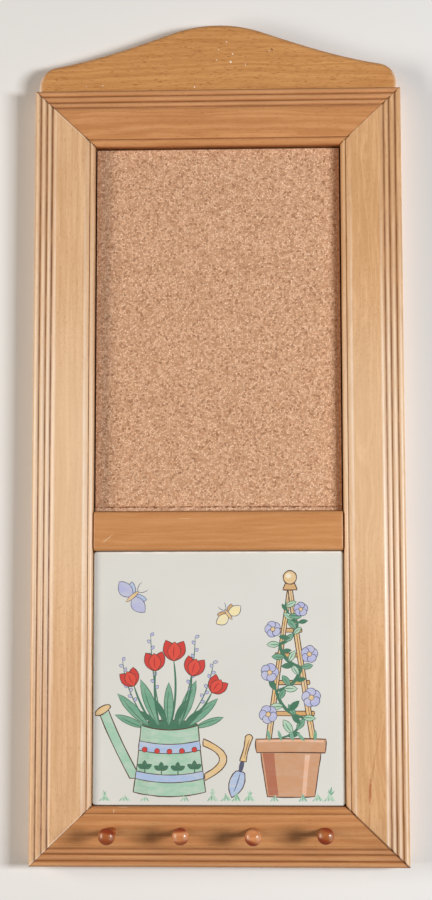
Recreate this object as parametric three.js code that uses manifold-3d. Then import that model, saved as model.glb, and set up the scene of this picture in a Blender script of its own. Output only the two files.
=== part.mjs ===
// A wall-hung memo rack: a mitred, reeded hardwood frame that holds a sheet of cork above a
// glazed tile, with a shaped crest board on top and four turned key pegs in the bottom rail.
// Millimetres. The drawing frame has x to the right, y up and z out from the wall; the whole
// rack is then stood up so that z is up and the face looks along -y. The origin is the point
// where the wall nail carries the hanger, on the plane of the frame's back.
import * as THREE from "three";
import { mergeVertices } from "three/addons/utils/BufferGeometryUtils.js";
import Module from "manifold-3d";

const wasm = await Module();
wasm.setup();

// Sizes of the whole
const tileSize = 152.4;
const stileWidth = 37.5;
const railWidth = 35.7;
const frameHeight = 476.7;
const mouldingThickness = 16;
const hangDrop = 18;

// Clearances
const fit = 0.3;
const panelPlay = 0.5;
const corkPlay = 0.9;
const mitreGap = 0.3;
const overrun = 2;

// The moulding's face, from the outer edge in: three reeds, a flat field, a quirk and a bead
const outerReedWidth = 3.65;
const reedPitch = 3.55;
const innerReedCount = 2;
const grooveDepth = 0.87;
const fieldEaseRadius = 2.4;
const innerEaseWidth = 3.3;
const innerEaseDrop = 0.85;
const stileBeadWidth = 3;
const railBeadWidth = 4.3;
const beadDrop = 0.5;
const quirkDepth = 1.2;
const backChamfer = 0.8;

// The rabbet at the back and what lies in the opening
const rabbetWidth = 6.5;
const rabbetDepth = 6;
const panelThickness = 3.2;
const tileThickness = 6.5;
const tileEdgeRadius = 1.5;
const tileCornerEase = 0.5;
const tileKeyDepth = 1;
const tileKeyWidth = 14;
const tileKeyCount = 5;
const corkThickness = 2;

// The divider bar between the cork and the tile
const dividerHeight = 24.7;
const dividerEdgeRadius = 2.5;

// The crest board
const crestWidth = 224.4;
const crestHeight = 43.1;
const crestThickness = 12;
const crestEdgeRadius = 3;
const crestSideHeight = 4.2;
const crestShoulderRadius = 13;
const crownRadius = 84;
const crownSlope = THREE.MathUtils.degToRad(19.5);
const shoulderSlope = THREE.MathUtils.degToRad(10);
const flankHandleShares = [0.36, 0.34];

// Dowels
const crestDowelRadius = 3;
const crestDowelLength = 24;
const crestDowelShare = 0.54;
const dividerDowelRadius = 2.5;
const dividerDowelLength = 20;
const fluteDepth = 0.3;
const fluteCount = 10;
const dowelChamfer = 0.8;

// Turned key pegs
const pegCount = 4;
const pegSpacing = 42.5;
const pegReach = 25;
const pegHeadRadius = 4.75;
const pegBaseRadius = 4;
const pegNeckRadius = 2.6;
const tenonRadius = 3;
const tenonLength = 8;
const tenonChamfer = 0.3;
const neckStartShare = 0.12;
const waistShare = 0.42;
const headStartShare = 0.74;
const headRimShare = 0.87;

// Steel wedges that draw the mitres together
const wedgeLeg = 6;
const wedgeLip = 1.2;
const wedgeThickness = 0.8;
const wedgeDepth = 10;
const wedgeSink = 0.4;
const wedgeShares = [0.32, 0.74];

// Flat steel points that hold the back panel in its rabbet
const pointLength = 14;
const pointBite = 7.5;
const pointWidth = 5.5;
const pointTip = 3;
const pointThickness = 0.6;
const stilePointShares = [0.16, 0.5, 0.84];
const railPointShares = [0.22, 0.78];

// The sawtooth hanger and its nails
const hangerLength = 45;
const hangerHeight = 10;
const hangerThickness = 0.9;
const hangerStandoff = 1.8;
const hangerTab = 8;
const hangerJoggle = 3;
const toothPitch = 2.6;
const toothDepth = 1.6;
const toothCount = 7;
const nailShankRadius = 0.7;
const nailHeadRadius = 1.7;
const nailHeadThickness = 0.6;
const nailLength = 9;
const nailTip = 1.5;

// Places that follow from the sizes
const frameWidth = tileSize + 2 * (fit + stileWidth);
const frameTop = hangDrop;
const frameBottom = frameTop - frameHeight;
const sightBottom = frameBottom + railWidth;
const sightTop = frameTop - railWidth;
const sightHalfWidth = frameWidth / 2 - stileWidth;
const panelBack = rabbetDepth - panelThickness;
const tileBottom = sightBottom + fit;
const dividerBottom = tileBottom + tileSize + fit;
const dividerTop = dividerBottom + dividerHeight;
const dividerThickness = mouldingThickness - rabbetDepth;
const fieldStart = outerReedWidth + innerReedCount * reedPitch;
const mitreAngle = Math.atan2(railWidth, stileWidth);

const timber = { stile: 0xd2a878, rail: 0xc08850, crest: 0xc39a5c, peg: 0xb5602f, dowel: 0xd9bd8e };
const steel = 0xa4a7aa;
const rack = new THREE.Group();
rack.name = "memo_rack";
rack.rotation.x = Math.PI / 2;

// A finish is made anew for each piece
function finish(color, roughness, metalness = 0) {
  return new THREE.MeshStandardMaterial({ color, roughness, metalness });
}

function addPiece(name, geometry, material, matrix = new THREE.Matrix4()) {
  const mesh = new THREE.Mesh(geometry, material);
  mesh.name = name;
  mesh.applyMatrix4(matrix);
  rack.add(mesh);
}

// Solids for the boolean cuts
function toSolid(geometry, matrix = new THREE.Matrix4()) {
  const bare = geometry.clone().applyMatrix4(matrix);
  bare.deleteAttribute("normal");
  bare.deleteAttribute("uv");
  const merged = mergeVertices(bare);
  const mesh = new wasm.Mesh({
    numProp: 3,
    vertProperties: new Float32Array(merged.attributes.position.array),
    triVerts: new Uint32Array(merged.index.array),
  });
  return new wasm.Manifold(mesh);
}

function toGeometry(solid) {
  const mesh = solid.getMesh();
  const geometry = new THREE.BufferGeometry();
  geometry.setAttribute("position", new THREE.BufferAttribute(new Float32Array(mesh.vertProperties), 3));
  geometry.setIndex(new THREE.BufferAttribute(new Uint32Array(mesh.triVerts), 1));
  geometry.computeVertexNormals();
  return geometry;
}

function cut(solid, cutters) {
  return cutters.reduce((rest, cutter) => rest.subtract(cutter), solid);
}

// A frame with its x along one direction, its z along another, and its origin at a point
function frameAt(origin, xAxis, zAxis) {
  const yAxis = new THREE.Vector3().crossVectors(zAxis, xAxis);
  return new THREE.Matrix4().makeBasis(xAxis, yAxis, zAxis).setPosition(origin);
}

function arcPoints(cx, cy, radius, from, to, steps) {
  return Array.from({ length: steps + 1 }, (_, i) => {
    const angle = from + ((to - from) * i) / steps;
    return new THREE.Vector2(cx + radius * Math.cos(angle), cy + radius * Math.sin(angle));
  });
}

function extrude(points, depth) {
  return new THREE.ExtrudeGeometry(new THREE.Shape(points), { depth, bevelEnabled: false });
}

// The radius of a round that touches the side and the face, and meets a groove this far in and down
function roundRadius(width, depth) {
  return width + depth - Math.sqrt(2 * width * depth);
}

// The section of the moulding: x in from the outer edge, y out from the back
function mouldingSection(width, beadWidth) {
  const face = mouldingThickness;
  const points = [new THREE.Vector2(backChamfer, 0), new THREE.Vector2(0, backChamfer)];
  const outerRadius = roundRadius(outerReedWidth, grooveDepth);
  const outerEnd = Math.acos((outerReedWidth - outerRadius) / outerRadius);
  points.push(...arcPoints(outerRadius, face - outerRadius, outerRadius, Math.PI, outerEnd, 9));
  const reedRadius = (reedPitch ** 2 / 4 + grooveDepth ** 2) / (2 * grooveDepth);
  const reedSweep = Math.asin(reedPitch / 2 / reedRadius);
  for (let i = 0; i < innerReedCount; i++) {
    const middle = outerReedWidth + (i + 1 / 2) * reedPitch;
    const arc = arcPoints(middle, face - reedRadius, reedRadius, Math.PI / 2 + reedSweep,
      Math.PI / 2 - reedSweep, 6);
    points.push(...arc.slice(1));
  }
  const easeSweep = Math.acos(1 - grooveDepth / fieldEaseRadius);
  const easeCentre = fieldStart + fieldEaseRadius * Math.sin(easeSweep);
  points.push(...arcPoints(easeCentre, face - fieldEaseRadius, fieldEaseRadius,
    Math.PI / 2 + easeSweep, Math.PI / 2, 4).slice(1));
  const quirk = width - beadWidth;
  const innerRadius = (innerEaseWidth ** 2 + innerEaseDrop ** 2) / (2 * innerEaseDrop);
  const innerSweep = Math.asin(innerEaseWidth / innerRadius);
  points.push(...arcPoints(quirk - innerEaseWidth, face - innerRadius, innerRadius,
    Math.PI / 2, Math.PI / 2 - innerSweep, 4));
  const beadRadius = roundRadius(beadWidth, quirkDepth - beadDrop);
  const beadStart = Math.PI - Math.acos((beadWidth - beadRadius) / beadRadius);
  points.push(...arcPoints(width - beadRadius, face - beadDrop - beadRadius, beadRadius, beadStart, 0, 8));
  points.push(new THREE.Vector2(width, rabbetDepth));
  points.push(new THREE.Vector2(width - rabbetWidth, rabbetDepth));
  points.push(new THREE.Vector2(width - rabbetWidth, 0));
  return points;
}

// A member of the frame: the section run along its length and mitred at both ends. Its own frame
// has x in from the outer edge, y out from the back and z along the length.
function mitredMember(length, width, beadWidth, matingWidth) {
  const geometry = extrude(mouldingSection(width, beadWidth), length);
  const ratio = matingWidth / width;
  const setback = (mitreGap / 2) * Math.hypot(ratio, 1);
  const position = geometry.attributes.position;
  for (let i = 0; i < position.count; i++) {
    const reach = length / 2 - position.getX(i) * ratio - setback;
    position.setZ(i, position.getZ(i) > length / 2 ? reach : -reach);
  }
  return geometry;
}

const right = new THREE.Vector3(1, 0, 0);
const up = new THREE.Vector3(0, 1, 0);
const out = new THREE.Vector3(0, 0, 1);
const left = right.clone().negate();
const down = up.clone().negate();

// Where each member lies: a point at the middle of its outer edge, and the way in from there
const middleHeight = (frameTop + frameBottom) / 2;
const members = {
  left_stile: { edge: new THREE.Vector3(-frameWidth / 2, middleHeight, 0), inward: right, stile: true },
  right_stile: { edge: new THREE.Vector3(frameWidth / 2, middleHeight, 0), inward: left, stile: true },
  top_rail: { edge: new THREE.Vector3(0, frameTop, 0), inward: down, stile: false },
  bottom_rail: { edge: new THREE.Vector3(0, frameBottom, 0), inward: up, stile: false },
};
for (const member of Object.values(members)) {
  const along = new THREE.Vector3().crossVectors(member.inward, out);
  member.width = member.stile ? stileWidth : railWidth;
  member.matrix = new THREE.Matrix4().makeBasis(member.inward, out, along).setPosition(member.edge);
  const blank = member.stile
    ? mitredMember(frameHeight, stileWidth, stileBeadWidth, railWidth)
    : mitredMember(frameWidth, railWidth, railBeadWidth, stileWidth);
  member.solid = toSolid(blank, member.matrix);
  member.cutters = [];
}

// A strip that follows a bent line, widened on both sides and run on at its ends
function stripOutline(line, halfWidth, runOn) {
  const path = line.map((point) => point.clone());
  const last = path.length - 1;
  path[0].addScaledVector(line[0].clone().sub(line[1]).normalize(), runOn);
  path[last].addScaledVector(line[last].clone().sub(line[last - 1]).normalize(), runOn);
  const side = path.map((point, i) => {
    const before = point.clone().sub(path[Math.max(i - 1, 0)]).normalize();
    const after = path[Math.min(i + 1, last)].clone().sub(point).normalize();
    const along = before.clone().add(after).normalize();
    const lean = Math.max(before.dot(along), after.dot(along));
    return new THREE.Vector2(-along.y, along.x).multiplyScalar(halfWidth / lean);
  });
  const leftSide = path.map((point, i) => point.clone().add(side[i]));
  const rightSide = path.map((point, i) => point.clone().sub(side[i])).reverse();
  return [...leftSide, ...rightSide];
}

// Corner wedges: a V of steel driven across each mitre from the back, its lips curled in
const wedgeReach = wedgeLeg * Math.SQRT1_2;
const wedgeLine = [
  new THREE.Vector2(-wedgeReach / 2 + wedgeLip, wedgeReach),
  new THREE.Vector2(-wedgeReach / 2, wedgeReach),
  new THREE.Vector2(wedgeReach / 2, 0),
  new THREE.Vector2(-wedgeReach / 2, -wedgeReach),
  new THREE.Vector2(-wedgeReach / 2 + wedgeLip, -wedgeReach),
];
const wedgeShape = extrude(stripOutline(wedgeLine, wedgeThickness / 2, 0), wedgeDepth - wedgeSink);
const wedgeSlot = extrude(stripOutline(wedgeLine, wedgeThickness / 2 + fit, fit), wedgeDepth + fit + overrun);
const cornerNames = [["bottom_left", "top_left"], ["bottom_right", "top_right"]];
const solidBack = Math.hypot(stileWidth - rabbetWidth, railWidth - rabbetWidth);
for (const [column, sx] of [-1, 1].entries()) {
  for (const [row, sy] of [-1, 1].entries()) {
    const corner = new THREE.Vector3((sx * frameWidth) / 2, sy > 0 ? frameTop : frameBottom, 0);
    const along = new THREE.Vector3(-sx * Math.cos(mitreAngle), -sy * Math.sin(mitreAngle), 0);
    const stile = members[sx < 0 ? "left_stile" : "right_stile"];
    const rail = members[sy > 0 ? "top_rail" : "bottom_rail"];
    for (const [i, share] of wedgeShares.entries()) {
      const place = corner.clone().addScaledVector(along, share * solidBack);
      const name = `corner_wedge_${cornerNames[column][row]}_${i + 1}`;
      const seat = frameAt(place.clone().addScaledVector(out, wedgeSink), along, out);
      addPiece(name, wedgeShape, finish(steel, 0.35, 1), seat);
      const slot = toSolid(wedgeSlot, frameAt(place.clone().addScaledVector(out, -overrun), along, out));
      stile.cutters.push(slot);
      rail.cutters.push(slot);
    }
  }
}

// Panel points: flat steel darts pushed into the rabbet's wall, close behind the back panel
function pointOutline(grow) {
  const tail = pointBite - pointLength - grow;
  const half = pointWidth / 2 + grow;
  return [
    new THREE.Vector2(tail, -half),
    new THREE.Vector2(pointBite - pointTip, -half),
    new THREE.Vector2(pointBite + grow, 0),
    new THREE.Vector2(pointBite - pointTip, half),
    new THREE.Vector2(tail, half),
  ];
}
const pointShape = extrude(pointOutline(0), pointThickness);
const pointSlot = extrude(pointOutline(fit), pointThickness + 2 * fit);
const pointLevel = panelBack - fit - pointThickness;
for (const [name, member] of Object.entries(members)) {
  const shares = member.stile ? stilePointShares : railPointShares;
  const outward = member.inward.clone().negate();
  const along = new THREE.Vector3().crossVectors(out, member.inward);
  const run = member.stile ? sightTop - sightBottom : 2 * sightHalfWidth;
  const wall = member.edge.clone().addScaledVector(member.inward, member.width - rabbetWidth);
  shares.forEach((share, i) => {
    const place = wall.clone().addScaledVector(along, (share - 1 / 2) * run);
    const seat = frameAt(place.clone().addScaledVector(out, pointLevel), outward, out);
    addPiece(`panel_point_${name}_${i + 1}`, pointShape, finish(steel, 0.4, 1), seat);
    const slot = frameAt(place.clone().addScaledVector(out, pointLevel - fit), outward, out);
    member.cutters.push(toSolid(pointSlot, slot));
  });
}

// Fluted dowels and the round holes that they are glued into
function dowelGeometry(radius, length) {
  const rim = Array.from({ length: 2 * fluteCount }, (_, i) => {
    const angle = (Math.PI * i) / fluteCount;
    const reach = i % 2 ? radius - fluteDepth : radius;
    return new THREE.Vector2(reach * Math.cos(angle), reach * Math.sin(angle));
  });
  const options = { depth: length, steps: 3, bevelEnabled: false };
  const geometry = new THREE.ExtrudeGeometry(new THREE.Shape(rim), options);
  const position = geometry.attributes.position;
  for (let i = 0; i < position.count; i++) {
    const z = position.getZ(i) - length / 2;
    const atEnd = Math.abs(z) > length / 4;
    const share = atEnd ? 1 - dowelChamfer / radius : 1;
    const reach = atEnd ? length / 2 : length / 2 - dowelChamfer;
    position.setXYZ(i, position.getX(i) * share, position.getY(i) * share, Math.sign(z) * reach);
  }
  return geometry;
}

function holeSolid(radius, length, matrix) {
  const bore = new THREE.CylinderGeometry(radius, radius, length, 32).rotateX(Math.PI / 2);
  return toSolid(bore, matrix);
}

// Crest board: straight ends, round shoulders, hollow flanks and a round crown, its front edge
// eased all the way round but for the bottom, which is glued to the top rail
function crestOutline() {
  const half = crestWidth / 2;
  const shoulder = arcPoints(half - crestShoulderRadius, crestSideHeight, crestShoulderRadius,
    0, Math.PI / 2 - shoulderSlope, 10);
  const crown = arcPoints(0, crestHeight - crownRadius, crownRadius,
    Math.PI / 2 - crownSlope, Math.PI / 2, 9);
  const start = shoulder[shoulder.length - 1];
  const end = crown[0];
  const span = start.distanceTo(end);
  const handle = (slope, share) =>
    new THREE.Vector2(Math.cos(slope), -Math.sin(slope)).multiplyScalar(share * span);
  const flank = new THREE.CubicBezierCurve(
    start,
    start.clone().sub(handle(shoulderSlope, flankHandleShares[1])),
    end.clone().add(handle(crownSlope, flankHandleShares[0])),
    end,
  ).getPoints(14);
  const side = [new THREE.Vector2(half, 0), ...shoulder, ...flank.slice(1, -1), ...crown];
  const mirrored = side.slice(0, -1).reverse().map((point) => new THREE.Vector2(-point.x, point.y));
  return [...side, ...mirrored];
}

// A plate with its front edge rounded over. The outline runs anticlockwise; where its last side
// is left square, the first and last points draw in along that side only.
function easedPlate(outline, thickness, radius, steps, lastSideSquare) {
  const count = outline.length;
  const inward = outline.map((point, i) => {
    const before = point.clone().sub(outline[(i + count - 1) % count]).normalize();
    const after = outline[(i + 1) % count].clone().sub(point).normalize();
    if (lastSideSquare && i === 0) before.copy(after);
    if (lastSideSquare && i === count - 1) after.copy(before);
    const along = before.clone().add(after).normalize();
    return new THREE.Vector2(-along.y, along.x).divideScalar(before.dot(along));
  });
  const rings = [{ inset: 0, z: 0 }];
  for (let i = 0; i <= steps; i++) {
    const angle = (Math.PI / 2) * (i / steps);
    rings.push({ inset: radius * (1 - Math.cos(angle)), z: thickness - radius * (1 - Math.sin(angle)) });
  }
  const vertices = [];
  for (const ring of rings) {
    outline.forEach((point, i) => {
      vertices.push(point.x + inward[i].x * ring.inset, point.y + inward[i].y * ring.inset, ring.z);
    });
  }
  const faces = [];
  for (let ring = 0; ring < rings.length - 1; ring++) {
    for (let i = 0; i < count; i++) {
      const a = ring * count + i;
      const b = ring * count + ((i + 1) % count);
      faces.push(a, b, b + count, a, b + count, a + count);
    }
  }
  const frontRing = (rings.length - 1) * count;
  const front = outline.map((point, i) => point.clone().addScaledVector(inward[i], radius));
  for (const [a, b, c] of THREE.ShapeUtils.triangulateShape(front, [])) {
    faces.push(frontRing + a, frontRing + b, frontRing + c);
  }
  for (const [a, b, c] of THREE.ShapeUtils.triangulateShape(outline, [])) {
    faces.push(a, c, b);
  }
  const geometry = new THREE.BufferGeometry();
  geometry.setAttribute("position", new THREE.Float32BufferAttribute(vertices, 3));
  geometry.setIndex(faces);
  geometry.computeVertexNormals();
  return geometry;
}

const crestSeat = new THREE.Matrix4().makeTranslation(0, frameTop, 0);
const crestBlank = toSolid(easedPlate(crestOutline(), crestThickness, crestEdgeRadius, 5, true), crestSeat);
const crestHoles = [];
for (const [name, side] of [["left", -1], ["right", 1]]) {
  const place = new THREE.Vector3((side * crestDowelShare * crestWidth) / 2, frameTop, crestThickness / 2);
  const seat = frameAt(place, right, up);
  const dowel = dowelGeometry(crestDowelRadius, crestDowelLength);
  addPiece(`crest_dowel_${name}`, dowel, finish(timber.dowel, 0.7), seat);
  const hole = holeSolid(crestDowelRadius + fit, crestDowelLength + 2 * fit, seat);
  crestHoles.push(hole);
  members.top_rail.cutters.push(hole);
}
addPiece("crest_board", toGeometry(cut(crestBlank, crestHoles)), finish(timber.crest, 0.35));

// Divider bar: square in section with its two front edges rounded, doweled between the stiles
function dividerSection() {
  const half = dividerHeight / 2;
  const shoulder = dividerThickness - dividerEdgeRadius;
  return [
    new THREE.Vector2(-half, 0),
    new THREE.Vector2(half, 0),
    ...arcPoints(half - dividerEdgeRadius, shoulder, dividerEdgeRadius, 0, Math.PI / 2, 6),
    ...arcPoints(dividerEdgeRadius - half, shoulder, dividerEdgeRadius, Math.PI / 2, Math.PI, 6),
  ];
}
const dividerLength = 2 * (sightHalfWidth - fit);
const dividerMiddle = (dividerBottom + dividerTop) / 2;
const dividerStart = new THREE.Vector3(-dividerLength / 2, dividerMiddle, rabbetDepth);
const dividerFrame = new THREE.Matrix4().makeBasis(up, out, right).setPosition(dividerStart);
const dividerBlank = toSolid(extrude(dividerSection(), dividerLength), dividerFrame);
const dividerHoles = [];
for (const [name, side] of [["left", -1], ["right", 1]]) {
  const place = new THREE.Vector3(side * sightHalfWidth, dividerMiddle, rabbetDepth + dividerThickness / 2);
  const seat = frameAt(place, up, right);
  const dowel = dowelGeometry(dividerDowelRadius, dividerDowelLength);
  addPiece(`divider_dowel_${name}`, dowel, finish(timber.dowel, 0.7), seat);
  const hole = holeSolid(dividerDowelRadius + fit, dividerDowelLength + 2 * fit, seat);
  dividerHoles.push(hole);
  members[`${name}_stile`].cutters.push(hole);
}
addPiece("divider_bar", toGeometry(cut(dividerBlank, dividerHoles)), finish(timber.rail, 0.3));

// Glazed tile: pillowed front edge, and keyed channels across its back for the adhesive
function roundedSquare(size, radius) {
  const middle = size / 2 - radius;
  const corners = [[1, 1], [-1, 1], [-1, -1], [1, -1]];
  return corners.flatMap(([sx, sy], i) =>
    arcPoints(sx * middle, sy * middle, radius, (i * Math.PI) / 2, ((i + 1) * Math.PI) / 2, 5));
}
const tilePlace = new THREE.Vector3(0, tileBottom + tileSize / 2, rabbetDepth);
const tileOutline = roundedSquare(tileSize, tileEdgeRadius + tileCornerEase);
const tileBlank = toSolid(easedPlate(tileOutline, tileThickness, tileEdgeRadius, 5, false));
const keyPitch = tileSize / tileKeyCount;
const tileKeys = Array.from({ length: tileKeyCount }, (_, i) => {
  const channel = new THREE.BoxGeometry(tileKeyWidth, tileSize + 2 * overrun, tileKeyDepth + overrun);
  channel.translate((i - (tileKeyCount - 1) / 2) * keyPitch, 0, (tileKeyDepth - overrun) / 2);
  return toSolid(channel);
});
addPiece("picture_tile", toGeometry(cut(tileBlank, tileKeys)), finish(0xdddacd, 0.15),
  new THREE.Matrix4().setPosition(tilePlace));

// Cork sheet, cut a little small for its opening, glued to the back panel
const corkWidth = 2 * (sightHalfWidth - corkPlay);
const corkHeight = sightTop - dividerTop - 2 * corkPlay;
const corkPlace = new THREE.Vector3(0, (sightTop + dividerTop) / 2, rabbetDepth + corkThickness / 2);
addPiece("cork_sheet", new THREE.BoxGeometry(corkWidth, corkHeight, corkThickness), finish(0xc79a76, 0.95),
  new THREE.Matrix4().setPosition(corkPlace));

// Hardboard back panel, dropped into the rabbet from behind
const panelWidth = 2 * (sightHalfWidth + rabbetWidth - panelPlay);
const panelHeight = sightTop - sightBottom + 2 * (rabbetWidth - panelPlay);
const panelPlace = new THREE.Vector3(0, (sightTop + sightBottom) / 2, rabbetDepth - panelThickness / 2);
addPiece("back_panel", new THREE.BoxGeometry(panelWidth, panelHeight, panelThickness), finish(0x7a5236, 0.8),
  new THREE.Matrix4().setPosition(panelPlace));

// Key pegs: a tenon, a beaded foot, a waisted neck and a mushroom head, turned in one piece
function pegProfile() {
  const tenon = [
    new THREE.Vector2(0, -tenonLength),
    new THREE.Vector2(tenonRadius - tenonChamfer, -tenonLength),
    new THREE.Vector2(tenonRadius, tenonChamfer - tenonLength),
  ];
  const footHalf = (neckStartShare * pegReach) / 2;
  const foot = new THREE.EllipseCurve(tenonRadius, footHalf, pegBaseRadius - tenonRadius, footHalf,
    -Math.PI / 2, Math.PI / 2).getPoints(8);
  const neck = new THREE.SplineCurve([
    new THREE.Vector2(tenonRadius, neckStartShare * pegReach),
    new THREE.Vector2(pegNeckRadius, waistShare * pegReach),
    new THREE.Vector2((pegNeckRadius + tenonRadius) / 2, headStartShare * pegReach),
  ]).getPoints(8);
  const head = new THREE.CubicBezierCurve(
    new THREE.Vector2((pegNeckRadius + tenonRadius) / 2, headStartShare * pegReach),
    new THREE.Vector2(pegHeadRadius, headStartShare * pegReach),
    new THREE.Vector2(pegHeadRadius, headRimShare * pegReach),
    new THREE.Vector2(pegHeadRadius, headRimShare * pegReach),
  ).getPoints(5);
  const dome = new THREE.EllipseCurve(0, headRimShare * pegReach, pegHeadRadius,
    (1 - headRimShare) * pegReach, 0, Math.PI / 2).getPoints(8);
  dome[dome.length - 1].x = 0;
  return [...tenon, ...foot, ...neck.slice(1), ...head.slice(1), ...dome.slice(1)];
}
const pegShape = new THREE.LatheGeometry(pegProfile(), 24).rotateX(Math.PI / 2);
const pegHeight = frameBottom + (fieldStart + railWidth - railBeadWidth) / 2;
for (let i = 0; i < pegCount; i++) {
  const place = new THREE.Vector3((i - (pegCount - 1) / 2) * pegSpacing, pegHeight, mouldingThickness);
  addPiece(`key_peg_${i + 1}`, pegShape, finish(timber.peg, 0.25), new THREE.Matrix4().setPosition(place));
  const holeDepth = tenonLength + fit + overrun;
  const hole = new THREE.Vector3(place.x, place.y, place.z + overrun - holeDepth / 2);
  members.bottom_rail.cutters.push(holeSolid(tenonRadius + fit, holeDepth, frameAt(hole, right, out)));
}

// Sawtooth hanger: a strip joggled out from the wood between its two nailed tabs, so that a nail's
// head fits behind it, with notches along its lower edge. The middle notch is the origin.
function hangerSolid() {
  const tabEnd = hangerLength / 2 - hangerTab;
  const lift = -hangerStandoff - hangerThickness / 2;
  const line = [
    new THREE.Vector2(-hangerLength / 2, -hangerThickness / 2),
    new THREE.Vector2(-tabEnd, -hangerThickness / 2),
    new THREE.Vector2(hangerJoggle - tabEnd, lift),
    new THREE.Vector2(tabEnd - hangerJoggle, lift),
    new THREE.Vector2(tabEnd, -hangerThickness / 2),
    new THREE.Vector2(hangerLength / 2, -hangerThickness / 2),
  ];
  const foot = new THREE.Vector3(0, hangerHeight - toothDepth, 0);
  const strip = extrude(stripOutline(line, hangerThickness / 2, 0), hangerHeight);
  const notch = extrude([
    new THREE.Vector2(0, 0),
    new THREE.Vector2(-toothPitch / 2, -toothDepth),
    new THREE.Vector2(-toothPitch / 2, -toothDepth - overrun),
    new THREE.Vector2(toothPitch / 2, -toothDepth - overrun),
    new THREE.Vector2(toothPitch / 2, -toothDepth),
  ], hangerStandoff + hangerThickness + 2 * overrun);
  const notches = Array.from({ length: toothCount }, (_, i) => {
    const x = (i - (toothCount - 1) / 2) * toothPitch;
    const back = -hangerStandoff - hangerThickness - overrun;
    return toSolid(notch, new THREE.Matrix4().makeTranslation(x, 0, back));
  });
  return cut(toSolid(strip, new THREE.Matrix4().makeBasis(right, out, down).setPosition(foot)), notches);
}

function nailProfile() {
  return [
    new THREE.Vector2(0, -nailLength),
    new THREE.Vector2(nailShankRadius, nailTip - nailLength),
    new THREE.Vector2(nailShankRadius, 0),
    new THREE.Vector2(nailHeadRadius, 0),
    new THREE.Vector2(nailHeadRadius, nailHeadThickness / 2),
    new THREE.Vector2(nailShankRadius, nailHeadThickness),
    new THREE.Vector2(0, nailHeadThickness),
  ];
}
const nailShape = new THREE.LatheGeometry(nailProfile(), 12).rotateX(-Math.PI / 2);
const nailHeight = hangerHeight / 2 - toothDepth;
const hangerHoles = [];
for (const [name, side] of [["left", -1], ["right", 1]]) {
  const x = (side * (hangerLength - hangerTab)) / 2;
  const place = new THREE.Vector3(x, nailHeight, -hangerThickness);
  addPiece(`hanger_nail_${name}`, nailShape, finish(steel, 0.3, 1), new THREE.Matrix4().setPosition(place));
  const hole = new THREE.Vector3(x, nailHeight, (nailLength - hangerThickness) / 2 - hangerThickness);
  const bore = holeSolid(nailShankRadius + fit, nailLength + fit + hangerThickness, frameAt(hole, right, out));
  hangerHoles.push(bore);
  members.top_rail.cutters.push(bore);
}
addPiece("sawtooth_hanger", toGeometry(cut(hangerSolid(), hangerHoles)), finish(steel, 0.3, 1));

// The frame's members, with every slot and hole cut, each kept in its own frame
for (const [name, member] of Object.entries(members)) {
  const geometry = toGeometry(cut(member.solid, member.cutters));
  geometry.applyMatrix4(member.matrix.clone().invert());
  addPiece(name, geometry, finish(member.stile ? timber.stile : timber.rail, 0.35), member.matrix);
}

export default rack;
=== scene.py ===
# %% [markdown]
# # A memo rack, dressed in Blender
# The rack is a hardwood frame that holds a cork sheet above a glazed tile, with a shaped crest on
# top and four turned pegs below. Its construction comes packed, piece by piece and at real size,
# so this notebook starts from that model and only makes surfaces: finer mouldings and turnings,
# wood, cork, glaze and steel. Hidden dowels and fasteners keep the shapes they came with.

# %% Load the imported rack
import cmath
import math
import random

import bmesh
import bpy
from mathutils import Matrix, Vector, geometry


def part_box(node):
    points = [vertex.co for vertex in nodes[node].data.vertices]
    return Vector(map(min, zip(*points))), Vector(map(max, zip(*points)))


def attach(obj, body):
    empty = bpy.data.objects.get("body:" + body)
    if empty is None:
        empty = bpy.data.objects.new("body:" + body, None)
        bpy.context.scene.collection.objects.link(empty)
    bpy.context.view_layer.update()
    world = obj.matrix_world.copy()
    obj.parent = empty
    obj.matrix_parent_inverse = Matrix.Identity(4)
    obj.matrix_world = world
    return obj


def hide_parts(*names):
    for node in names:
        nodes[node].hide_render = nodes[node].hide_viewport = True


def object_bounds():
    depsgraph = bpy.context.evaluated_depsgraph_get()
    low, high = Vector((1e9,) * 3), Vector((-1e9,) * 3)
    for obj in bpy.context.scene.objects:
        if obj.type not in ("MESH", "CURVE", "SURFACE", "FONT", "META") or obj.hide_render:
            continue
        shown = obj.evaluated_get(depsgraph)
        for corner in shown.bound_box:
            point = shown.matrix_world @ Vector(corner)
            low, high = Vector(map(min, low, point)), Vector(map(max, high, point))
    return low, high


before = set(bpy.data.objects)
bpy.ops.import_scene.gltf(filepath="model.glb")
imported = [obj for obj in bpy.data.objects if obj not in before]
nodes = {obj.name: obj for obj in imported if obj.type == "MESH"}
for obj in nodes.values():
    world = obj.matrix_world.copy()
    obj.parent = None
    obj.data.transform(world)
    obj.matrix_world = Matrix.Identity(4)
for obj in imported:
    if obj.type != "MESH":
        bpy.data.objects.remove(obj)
cad_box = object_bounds()
mm = 0.001
print("packed nodes:", len(nodes), "box:", [tuple(round(c, 4) for c in corner) for corner in cad_box])

# %% [markdown]
# ## The camera
# The photograph was taken from about a metre away, level with the lower half of the rack and a
# little to its right. Its place and aim were worked out from the frame's edges. The lens is a
# little long, which keeps the sides of the frame almost parallel.

# %% Place the camera
camera_spot = Vector((0.0388, -1.0435, -0.3157))
aim_point = Vector((-0.0011, -0.0160, -0.2087))
camera_roll = math.radians(-0.08)
focal_length = 67.75

bpy.ops.object.camera_add(location=camera_spot)
camera = bpy.context.object
aim = (aim_point - camera_spot).to_track_quat("-Z", "Y").to_matrix()
camera.rotation_euler = (aim @ Matrix.Rotation(camera_roll, 3, "Z")).to_euler()
camera.data.lens = focal_length
bpy.context.scene.camera = camera
print("camera distance:", round((aim_point - camera_spot).length, 3), "m")

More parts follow.
